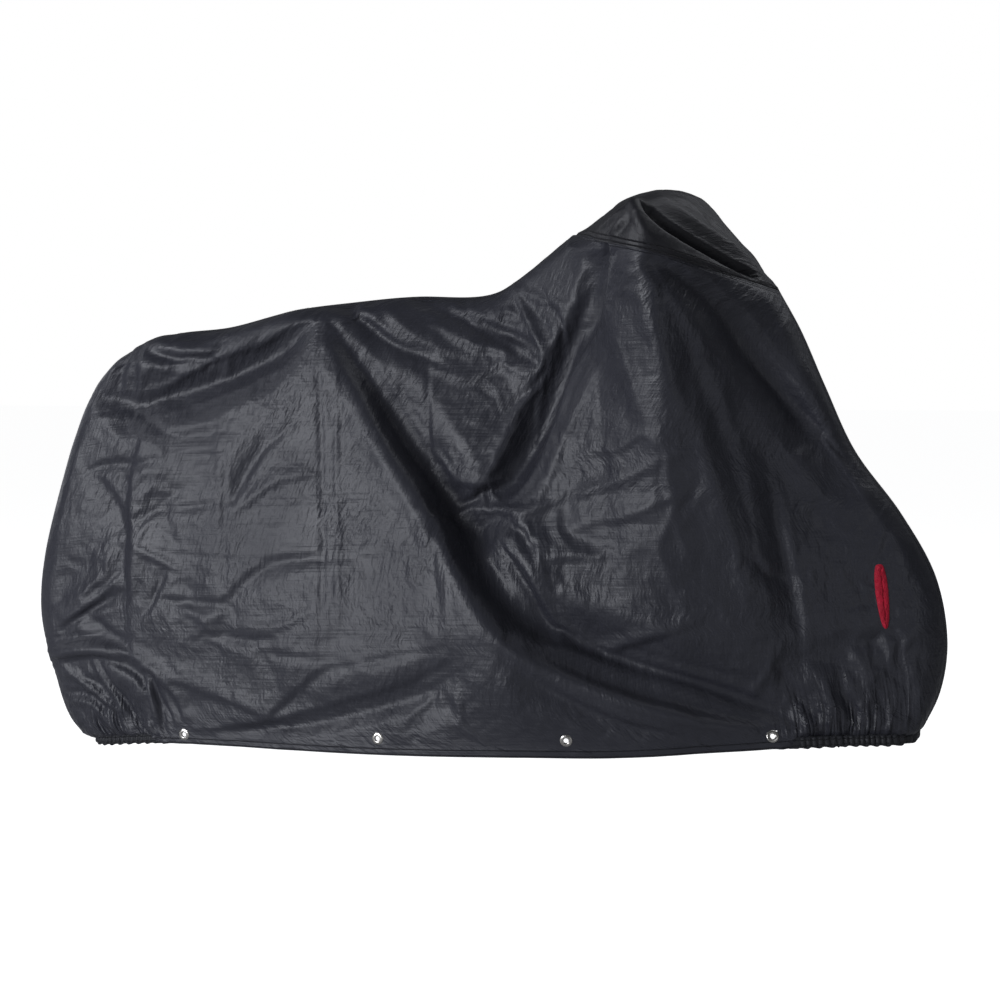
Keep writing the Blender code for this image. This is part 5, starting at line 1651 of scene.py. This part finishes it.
@dataclass
class Eyelets:
    """Two-part metal eyelets along one hem, each a ring with a rolled edge on both faces."""

    panel: SidePanel
    hole: float = 0.0046
    flange: float = 0.0112
    steps: int = 40

    def profile(self) -> list[tuple[float, float]]:
        """Closed profile of radius and height, rounded over the flange."""
        face = CLOTH / 2 + 0.0003
        dome = [(self.hole + 0.0001, face - 0.0003), (self.hole, face + 0.0005),
                (self.hole + 0.0006, face + 0.0012), (self.hole + 0.0018, face + 0.0017),
                (self.hole + 0.0030, face + 0.0016), (self.flange - 0.0011, face + 0.0009),
                (self.flange - 0.0003, face + 0.0005), (self.flange, face)]
        barrel = [(self.hole + 0.0012, face - 0.0002)]
        under = [(r, -h) for r, h in reversed(dome)]
        back = [(self.hole + 0.0012, -(face - 0.0002))]
        return dome + barrel + back + under

    def build(self) -> list[Object]:
        """The four eyelets of the side, dressed."""
        made = []
        label = self.panel.side.label
        profile = self.profile()
        angles = np.arange(self.steps) * 2.0 * math.pi / self.steps
        rings = np.array([[(r * math.cos(a), r * math.sin(a), h) for r, h in profile]
                          for a in angles])
        count = len(profile)
        faces = []
        for i in range(self.steps):
            j = (i + 1) % self.steps
            for k in range(count):
                n = (k + 1) % count
                faces.append((i * count + k, j * count + k, j * count + n, i * count + n))
        for number, (centre, normal) in enumerate(self.panel.eyelet_frames, start=1):
            turn = normal.to_track_quat("Z", "Y").to_matrix()
            middle = centre - normal * (CLOTH / 2)
            points = [turn @ Vector(p) + middle - Vector(REST_POINT)
                      for p in rings.reshape(-1, 3)]
            mesh = bpy.data.meshes.new(f"{label}_eyelet_ring_{number}")
            mesh.from_pydata([tuple(p) for p in points], [], faces)
            thing = placed_object(mesh)
            mesh.materials.append(shared_material(NICKEL))
            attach(thing, BODY)
            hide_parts(f"{label}_eyelet_{number}")
            report(thing)
            made.append(thing)
        return made


# Share of the way from the tape's edge to the slit, and height above the cloth, of each row.
LIP_ROWS = ((0.00, -0.0010), (0.015, 0.0006), (0.07, 0.0012), (0.25, 0.0017), (0.50, 0.0024),
            (0.75, 0.0027), (0.90, 0.0022), (0.97, 0.0010), (1.00, -0.0016))
# Half-width of the tape at heights from -1 at its foot to 1 at its top.
TAPE_LIFTS = (-1.0, -0.93, -0.7, -0.3, 0.15, 0.55, 0.9, 1.0)
TAPE_WIDTHS = (0.0034, 0.0058, 0.0082, 0.0102, 0.0116, 0.0112, 0.0094, 0.0084)


@dataclass
class LockSlot:
    """Red tape lips round the slit through which a lock passes, nearly closed."""

    panel: SidePanel
    height: float = 0.116
    slit_height: float = 0.86     # share of the tape's height
    left_lip: float = 0.0009
    thickness: float = 0.0007
    steps: int = 128

    def outline(self, angle: float) -> tuple[float, float]:
        """Point of the outer edge: across and along the slot, blunt above and narrow below."""
        c, s = math.cos(angle), math.sin(angle)
        lift = math.copysign(abs(s) ** 0.55, s)
        side = math.copysign(abs(c) ** 0.35, c)
        return float(np.interp(lift, TAPE_LIFTS, TAPE_WIDTHS)) * side, lift * self.height / 2.0

    def build(self) -> Object:
        """The tape, dressed."""
        outer, inner, cloth = [], [], []
        for share, proud in LIP_ROWS:
            line, under, flat = [], [], []
            for step in range(self.steps):
                angle = 2.0 * math.pi * step / self.steps
                across, rise = self.outline(angle)
                lift = 2.0 * rise / self.height
                side = math.copysign(1.0, math.cos(angle))
                slit = 0.0012 + 0.0010 * lift + 0.0004 * math.sin(lift * 7.0)
                a = across + (slit - 0.0003 * side - across) * share
                r = rise + (rise * self.slit_height - rise) * share
                left_lip = self.left_lip if side < 0.0 else 0.0
                ripple = 0.0004 * math.sin(rise * 260.0 + 2.0 * side)
                ripple += 0.0003 * math.sin(rise * 610.0 + share * 4.0)
                x = SLOT_CENTRE.x + a * math.cos(SLOT_LEAN) - r * math.sin(SLOT_LEAN)
                z = SLOT_CENTRE.z + r * math.cos(SLOT_LEAN) + a * math.sin(SLOT_LEAN)
                point, normal = self.panel.probe.at(x, z)
                lift_off = proud + (ripple + left_lip) * smooth(0.0, 0.25, np.array(share))
                line.append(point + normal * float(lift_off))
                under.append(point + normal * (min(proud, 0.0) - self.thickness))
                flat.append((a, r))
            outer.append(line)
            inner.append(under)
            cloth.append(flat)
        maps = {"cloth": np.array(cloth), "edges": np.array(cloth)}
        thing = sheet_object(f"{self.panel.side.label}_lock_slot_tape", np.array(outer),
                             np.array(inner), maps, closed_rows=True)
        thing.data.materials.append(shared_material(RED_TAPE))
        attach(thing, BODY)
        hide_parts(f"{self.panel.side.label}_lock_slot_binding")
        report(thing)
        return thing


# Height above the hem and distance out from it, once round the tunnel.
TUNNEL_PROFILE = ((0.0000, 0.0000), (-0.0012, 0.0022), (0.0012, 0.0042), (0.0050, 0.0050),
                  (0.0095, 0.0046), (0.0140, 0.0048), (0.0172, 0.0034), (0.0190, 0.0010),
                  (0.0190, -0.0014), (0.0140, -0.0044), (0.0080, -0.0046), (0.0020, -0.0040),
                  (-0.0010, -0.0020))


@dataclass
class GatheredHem:
    """Cloth tunnel with elastic inside, puckered, round one end of the cover."""

    end: End
    panels: dict[SideName, SidePanel]
    pitch: float = 0.0100
    step: float = 0.0014
    crowding: float = 0.45     # how much closer together the rings are at the end
    pucker: float = 0.0046
    sway: float = 0.0012

    def build(self) -> Object:
        """The tunnel from the right side round the end to the left, dressed."""
        start = FORM.u_at_hem(self.end.start_x)
        count = round(abs(start - self.end.u) * FORM.length / self.step)
        bend = np.linspace(0.0, 1.0, count + 1)
        bend = bend + self.crowding * bend * (1.0 - bend)
        u = start + (self.end.u - start) * bend
        rng = np.random.default_rng(self.end.pucker_seed)
        distance = abs(u - start) * FORM.length
        phase = 2.0 * math.pi * distance / self.pitch + 1.6 * np.sin(distance * 47.0)
        size = 0.55 + 0.45 * rng.random(len(u))
        size = np.convolve(size, np.ones(7) / 7.0, mode="same")
        rising = smooth(0.0, 0.030, distance)
        rows = []
        maps = []
        bases = {side: self.base(panel, u) for side, panel in self.panels.items()}
        for k, (rise, bulge) in enumerate(TUNNEL_PROFILE):
            halves = []
            wave = abs(np.sin(0.5 * phase + 0.22 * math.sin(1.3 * k + 0.6)))**0.8 - 0.45
            waver = self.pucker * wave * size * rising * (1.0 if bulge > 0 else 0.4)
            lift = self.sway * np.sin(phase * 0.5 + k) * rising
            for side, (points, normals) in bases.items():
                out = points + normals * (bulge * (0.45 + 0.55 * rising) + waver)[:, None]
                out[:, 2] += rise + lift * (0.4 if rise > 0.01 else 1.0)
                out[:, 1] = side.value * np.maximum(side.value * out[:, 1], 0.0)
                halves.append(out)
            end_point = (halves[0][-1] + halves[1][-1]) / 2.0
            rows.append(np.concatenate((halves[0][:-1], [end_point], halves[1][:-1][::-1])))
            both = np.concatenate((distance[:-1], [distance[-1]], 2 * distance[-1]
                                   - distance[:-1][::-1]))
            maps.append(np.stack([both, np.full(len(both), rise)], axis=1))
        grid = np.array(rows).transpose(1, 0, 2)
        cloth = np.array(maps).transpose(1, 0, 2)
        thing = self.tube(grid, cloth)
        thing.data.materials.append(shared_material(ELASTIC_CLOTH))
        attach(thing, BODY)
        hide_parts(f"{self.end.label}_gathered_hem")
        report(thing)
        return thing

    def base(self, panel: SidePanel, u: Array) -> tuple[Array, Array]:
        """Points and level normals of the panel's hem line at each u."""
        columns = panel.columns()
        line = FORM.surface(panel.side.value, panel.main_folds, columns,
                            np.zeros(len(columns)))[0]
        run = np.gradient(line, axis=0)
        level = np.stack([run[:, 1], -run[:, 0], np.zeros(len(run))], axis=1)
        level *= np.sign(level[:, 1:2] * panel.side.value + 1e-9)
        normals = between(u, columns, unit(level))
        normals[:, 1] = panel.side.value * abs(normals[:, 1])
        return between(u, columns, line), unit(normals)

    def tube(self, grid: Array, cloth: Array) -> Object:
        """Closed tube from rings of points, capped at both ends."""
        rings, count = grid.shape[:2]
        index = np.arange(rings * count).reshape(rings, count)
        after = np.roll(index, -1, axis=1)
        quads = np.stack([index[:-1], index[1:], after[1:], after[:-1]], axis=2).reshape(-1, 4)
        faces = quads.tolist() + [index[0].tolist(), index[-1, ::-1].tolist()]
        mesh = bpy.data.meshes.new(f"{self.end.label}_elastic_hem")
        mesh.from_pydata((grid.reshape(-1, 3) - REST_POINT).tolist(), [], faces)
        corner = np.empty(len(mesh.loops), np.int32)
        mesh.loops.foreach_get("vertex_index", corner)
        for name in ("cloth", "edges"):
            layer = mesh.uv_layers.new(name=name)
            values = cloth if name == "cloth" else np.stack([cloth[:, :, 1]] * 2, axis=2)
            layer.data.foreach_set("uv", values.reshape(-1, 2)[corner].astype(np.float32).ravel())
        return placed_object(mesh)


@dataclass
class HandlebarCap:
    """Cap over the handlebar, sewn to both sides, in the side cloth coloured darker as painted
    shade.
    """

    panels: dict[SideName, SidePanel]
    rows: int = 141
    columns: int = 86
    tip: float = 0.006             # share of the seam left bare at each end
    facet_share: float = 0.55      # strength of the crumples, against the sides'
    left_share: float = 0.8        # strength of the folds on the left, against the right
    lap: float = 0.0011            # how far the cap's edge stands out over the sides
    overlap: float = 0.004         # how far it hangs below the seam
    outer: Array = field(init=False)
    normals: Array = field(init=False)
    gap: Array = field(init=False)
    probe: Probe = field(init=False)

    def surface(self, s: Array, a: float) -> Array:
        """One line of the outer face, from rear to front.

        Args:
            s: Fractions of the cap's length.
            a: Place across, from -1 on the right to 1 on the left.

        Returns:
            One point for each fraction.
        """
        seam = FORM.cap_seam_at(s)
        weights = spline_weights([c.x for c in CAP_SECTIONS], seam[:, 0])
        crown, shoulder, square = (weights @ np.array([c[1:] for c in CAP_SECTIONS])).T
        half = seam[:, 1] * rounded((1.0 - s) * (1.0 - FORM.cap_share()) * FORM.length, NOSE_ROUND)
        angle = a * math.pi / 2.0
        across = np.sign(a) * abs(math.sin(angle)) ** (2.0 / square)
        rise = abs(math.cos(angle)) ** (2.0 / square)
        top = crown + (shoulder - crown) * across**2
        y = half * across
        z = seam[:, 2] + (top - seam[:, 2]) * rise
        turn = np.clip(seam[:, 1] / FORM.width_at_top(seam[:, 0]), 0.0, 1.0)
        x = seam[:, 0] + HANDLEBAR_TURN * y * turn
        return np.stack([x, y, z], axis=1)

    def build(self) -> Object:
        """The cap, dressed."""
        s = np.linspace(self.tip, 1.0 - self.tip, self.columns)
        shares = np.linspace(-1.0, 1.0, self.rows)
        grid = np.array([self.surface(s, float(a)) for a in shares])
        normals = grid_normals(grid)
        normals *= np.sign(normals[self.rows // 2, self.columns // 2, 2])
        flat = np.stack([grid[:, :, 0] + 0.35 * grid[:, :, 1],
                         grid[:, :, 2] + 0.8 * abs(grid[:, :, 1])], axis=2).reshape(-1, 2)
        facets = sum(facet.offset(flat + 3.0) for facet in FACETS).reshape(grid.shape[:2])
        arc = run_lengths(grid, 0)
        gap = np.minimum(arc, arc[-1] - arc)
        calm = smooth(0.0, 0.03, gap)
        places = np.stack([grid[:, :, 0], grid[:, :, 2]], axis=2).reshape(-1, 2)
        pushes = sum(fold.offset(places) for fold in CAP_FOLDS).reshape(grid.shape[:2])
        flank = np.where(shares < 0.0, 1.0, self.left_share) * smooth(0.10, 0.34, abs(shares))
        pushes = pushes * flank[:, None] * smooth(0.0, 0.012, gap)
        lap = self.lap * (1.0 - smooth(0.006, 0.018, gap)) + 0.0004
        grid = grid + normals * (facets * self.facet_share * calm + pushes + lap)[:, :, None]
        grid[:, :, 2] -= self.overlap * (1.0 - smooth(0.0, 0.010, gap))
        self.outer = grid
        self.normals = grid_normals(grid)
        self.normals *= np.sign(self.normals[self.rows // 2, self.columns // 2, 2])
        maps = {"cloth": np.stack([run_lengths(grid, 1), arc], axis=2),
                "edges": np.stack([gap, gap], axis=2)}
        thing = sheet_object("handlebar_cap_cloth", grid, grid - self.normals * CLOTH, maps)
        # Painted shade: the cap's darker colour stands in for the shade on it.
        thing.data.materials.append(shared_material(CAP_CLOTH_PAINTED_SHADE))
        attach(thing, BODY)
        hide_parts("handlebar_cap")
        self.gap, self.probe = gap, Probe(grid, SideName.RIGHT.value)
        report(thing)
        return thing

    def sew(self, row: StitchRow) -> None:
        """Sew two rows along each seam of the cap, and the small patch above the right seam."""
        near = 30
        for offset in CAP_STITCHES:
            for order in (1, -1):
                gap, grid = self.gap[::order], self.outer[::order]
                normals = self.normals[::order]
                line, upward = [], []
                for column in range(2, grid.shape[1] - 2):
                    share = np.interp(offset, gap[:near, column], np.arange(near))
                    low = int(share)
                    part = share - low
                    line.append(grid[low, column] * (1 - part) + grid[low + 1, column] * part)
                    upward.append(normals[low, column])
                row.add(np.array(line), np.array(upward))
        patch = PATCH.outline()
        hits = [self.probe.at(x, z) for x, z in patch]
        row.add(np.array([tuple(p) for p, _ in hits]), np.array([tuple(n) for _, n in hits]))


@dataclass(frozen=True)
class SewnPatch:
    """Rounded rectangle of stitches that holds a patch inside the cap."""

    x: float = 0.372
    z: float = 1.080
    width: float = 0.044
    height: float = 0.030
    lean: float = -0.22
    corner: float = 0.010

    def outline(self) -> list[tuple[float, float]]:
        """Side-view places round the patch."""
        places = []
        for quarter in range(4):
            angle = quarter * math.pi / 2.0
            cx = (self.width / 2 - self.corner) * (1 if quarter in (0, 3) else -1)
            cz = (self.height / 2 - self.corner) * (1 if quarter in (0, 1) else -1)
            for step in range(7):
                a = angle + step / 6.0 * math.pi / 2.0
                px, pz = cx + self.corner * math.cos(a), cz + self.corner * math.sin(a)
                places.append((self.x + px * math.cos(self.lean) - pz * math.sin(self.lean),
                               self.z + pz * math.cos(self.lean) + px * math.sin(self.lean)))
        return places + places[:1]


PATCH = SewnPatch()


# --- studio

class Lamp(NamedTuple):
    """Square soft lamp: where it stands, what it faces, its side and its power in watts."""

    name: str
    place: tuple[float, float, float]
    aim: tuple[float, float, float]
    size: float
    power: float


MIDDLE = (-0.2, 0.0, 0.55)
LAMPS = (
    Lamp("key", (-2.41, -3.28, 1.15), MIDDLE, 2.0, 81.0),
    Lamp("side", (-3.43, -0.57, 2.84), MIDDLE, 1.8, 13.0),
    Lamp("top", (1.90, 0.10, 3.70), MIDDLE, 1.8, 14.0),
    Lamp("low_left", (-1.20, -3.30, 0.25), (0.0, 0.0, 0.20), 1.3, 6.0),
    Lamp("low_right", (2.75, -2.60, 0.60), (-0.2, 0.0, 0.45), 1.1, 4.0),
    Lamp("back", (-0.30, 3.80, 0.46), (-0.2, 0.0, 0.50), 0.9, 36.0),
    Lamp("back_left", (-3.50, 2.00, 1.40), MIDDLE, 1.8, 9.0),
    Lamp("back_right", (2.30, 2.20, 3.30), MIDDLE, 1.8, 12.0),
)


@dataclass
class Studio:
    """Pale floor, soft lights and the camera."""

    yaw: float = math.radians(12.10)
    pitch: float = math.radians(4.56)
    lens: float = 60.68
    sensor: float = 36.0
    camera_place: tuple[float, float, float] = (0.7236, -3.1289, 0.85)
    floor_reach: float = 30.0
    floor_grey: float = 0.60
    floor_glow: float = 0.94
    fill: float = 0.075
    fill_colour: Colour = (0.92, 0.95, 1.0)
    lamp_colour: Colour = (0.92, 0.94, 1.0)

    def seen_or_lit(self, tree: Tree, lit: Socket, seen: Socket, output: str) -> None:
        """Give the camera one shader and all other rays another."""
        mix = tree.node("ShaderNodeMixShader")
        rays = tree.node("ShaderNodeLightPath")
        for socket, source in zip(mix.inputs, (rays.outputs["Is Camera Ray"], lit, seen)):
            tree.link(source, socket)
        tree.link(mix.outputs[0], tree.tree.nodes[output].inputs[0])

    def place(self, name: str, data: ID) -> Object:
        """Object of a mesh, a lamp or a camera, linked to the scene."""
        thing = bpy.data.objects.new(name, data)
        bpy.context.scene.collection.objects.link(thing)
        return thing

    def floor(self) -> None:
        """Wide pale floor at ground level."""
        mesh = bpy.data.meshes.new("studio_floor")
        corners = ((-1, -1), (1, -1), (1, 1), (-1, 1))
        mesh.from_pydata([(x * self.floor_reach, y * self.floor_reach, -REST_POINT[2])
                          for x, y in corners], [], [(0, 1, 2, 3)])
        thing = self.place("studio_floor", mesh)
        material, tree, lit = new_material("studio_white")
        tree.feed(lit, {"Base Color": (*(self.floor_grey,) * 3, 1.0), "Roughness": 0.9})
        glow = tree.feed(tree.node("ShaderNodeEmission"), {"Strength": self.floor_glow})
        both = tree.node("ShaderNodeAddShader")
        tree.link(lit.outputs[0], both.inputs[0])
        tree.link(glow.outputs[0], both.inputs[1])
        self.seen_or_lit(tree, lit.outputs[0], both.outputs[0], "Material Output")
        mesh.materials.append(material)

    def light(self, lamp: Lamp) -> None:
        """Set up a lamp."""
        data = bpy.data.lights.new(lamp.name, "AREA")
        data.size = lamp.size
        data.energy = lamp.power
        data.color = self.lamp_colour
        thing = self.place(lamp.name, data)
        thing.location = Vector(lamp.place) - Vector(REST_POINT)
        thing.rotation_mode = "QUATERNION"
        ahead = Vector(lamp.aim) - Vector(lamp.place)
        thing.rotation_quaternion = ahead.to_track_quat("-Z", "Y")

    def sky(self) -> None:
        """White surround that the camera sees, dimmer where it lights the cloth."""
        world = bpy.data.worlds.new("studio_surround")
        bpy.context.scene.world = world
        world.use_nodes = True
        tree = Tree(world.node_tree)
        seen = tree.feed(world.node_tree.nodes["Background"],
                         {"Color": (1.0, 1.0, 1.0, 1.0), "Strength": 1.0})
        fill = tree.feed(tree.node("ShaderNodeBackground"),
                         {"Color": (*self.fill_colour, 1.0), "Strength": self.fill})
        self.seen_or_lit(tree, fill.outputs[0], seen.outputs[0], "World Output")

    def camera(self) -> None:
        """Camera at the viewing angle."""
        data = bpy.data.cameras.new("camera")
        data.sensor_width = self.sensor
        data.lens = self.lens
        thing = self.place("camera", data)
        forward = Vector((-math.sin(self.yaw) * math.cos(self.pitch),
                          math.cos(self.yaw) * math.cos(self.pitch), -math.sin(self.pitch)))
        right = Vector((math.cos(self.yaw), math.sin(self.yaw), 0.0))
        turn = Matrix((right, right.cross(forward), -forward)).transposed().to_4x4()
        start = Vector(self.camera_place) - Vector(REST_POINT)
        thing.matrix_world = Matrix.Translation(start) @ turn
        bpy.context.scene.camera = thing

    def build(self) -> None:
        """Floor, surround, lights and camera."""
        self.floor()
        self.sky()
        for lamp in LAMPS:
            self.light(lamp)
        self.camera()
        bpy.context.scene.view_settings.view_transform = "Standard"


def main() -> None:
    """Build the cover piece by piece and set up the studio."""
    logging.basicConfig(level=logging.INFO, format="%(message)s")
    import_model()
    right = SidePanel(SideName.RIGHT, MAIN_FOLDS_RIGHT, CREASES_RIGHT, CRUMPLE_ZONES_RIGHT,
                      column_step=0.0052, row_step=0.0058, crumple_seed=0)
    left = SidePanel(SideName.LEFT, MAIN_FOLDS_LEFT, CREASES_LEFT, CRUMPLE_ZONES_LEFT,
                     column_step=0.0072, row_step=0.0078, crumple_seed=100)
    panels = {SideName.RIGHT: right, SideName.LEFT: left}
    stitches = StitchRow("hem_and_seam_stitches")
    cloths, tapes = [], []
    for panel in panels.values():
        panel.shape()
        cloths.append(panel.build())
        panel.sew(stitches)
        Eyelets(panel).build()
        tapes.append(LockSlot(panel).build())
    cap = HandlebarCap(panels)
    cap_cloth = cap.build()
    cap.sew(stitches)
    thread = stitches.build()
    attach(thread, BODY)
    report(thread)
    for end in End:
        GatheredHem(end, panels).build()
    Studio().build()


if __name__ == "__main__":
    main()
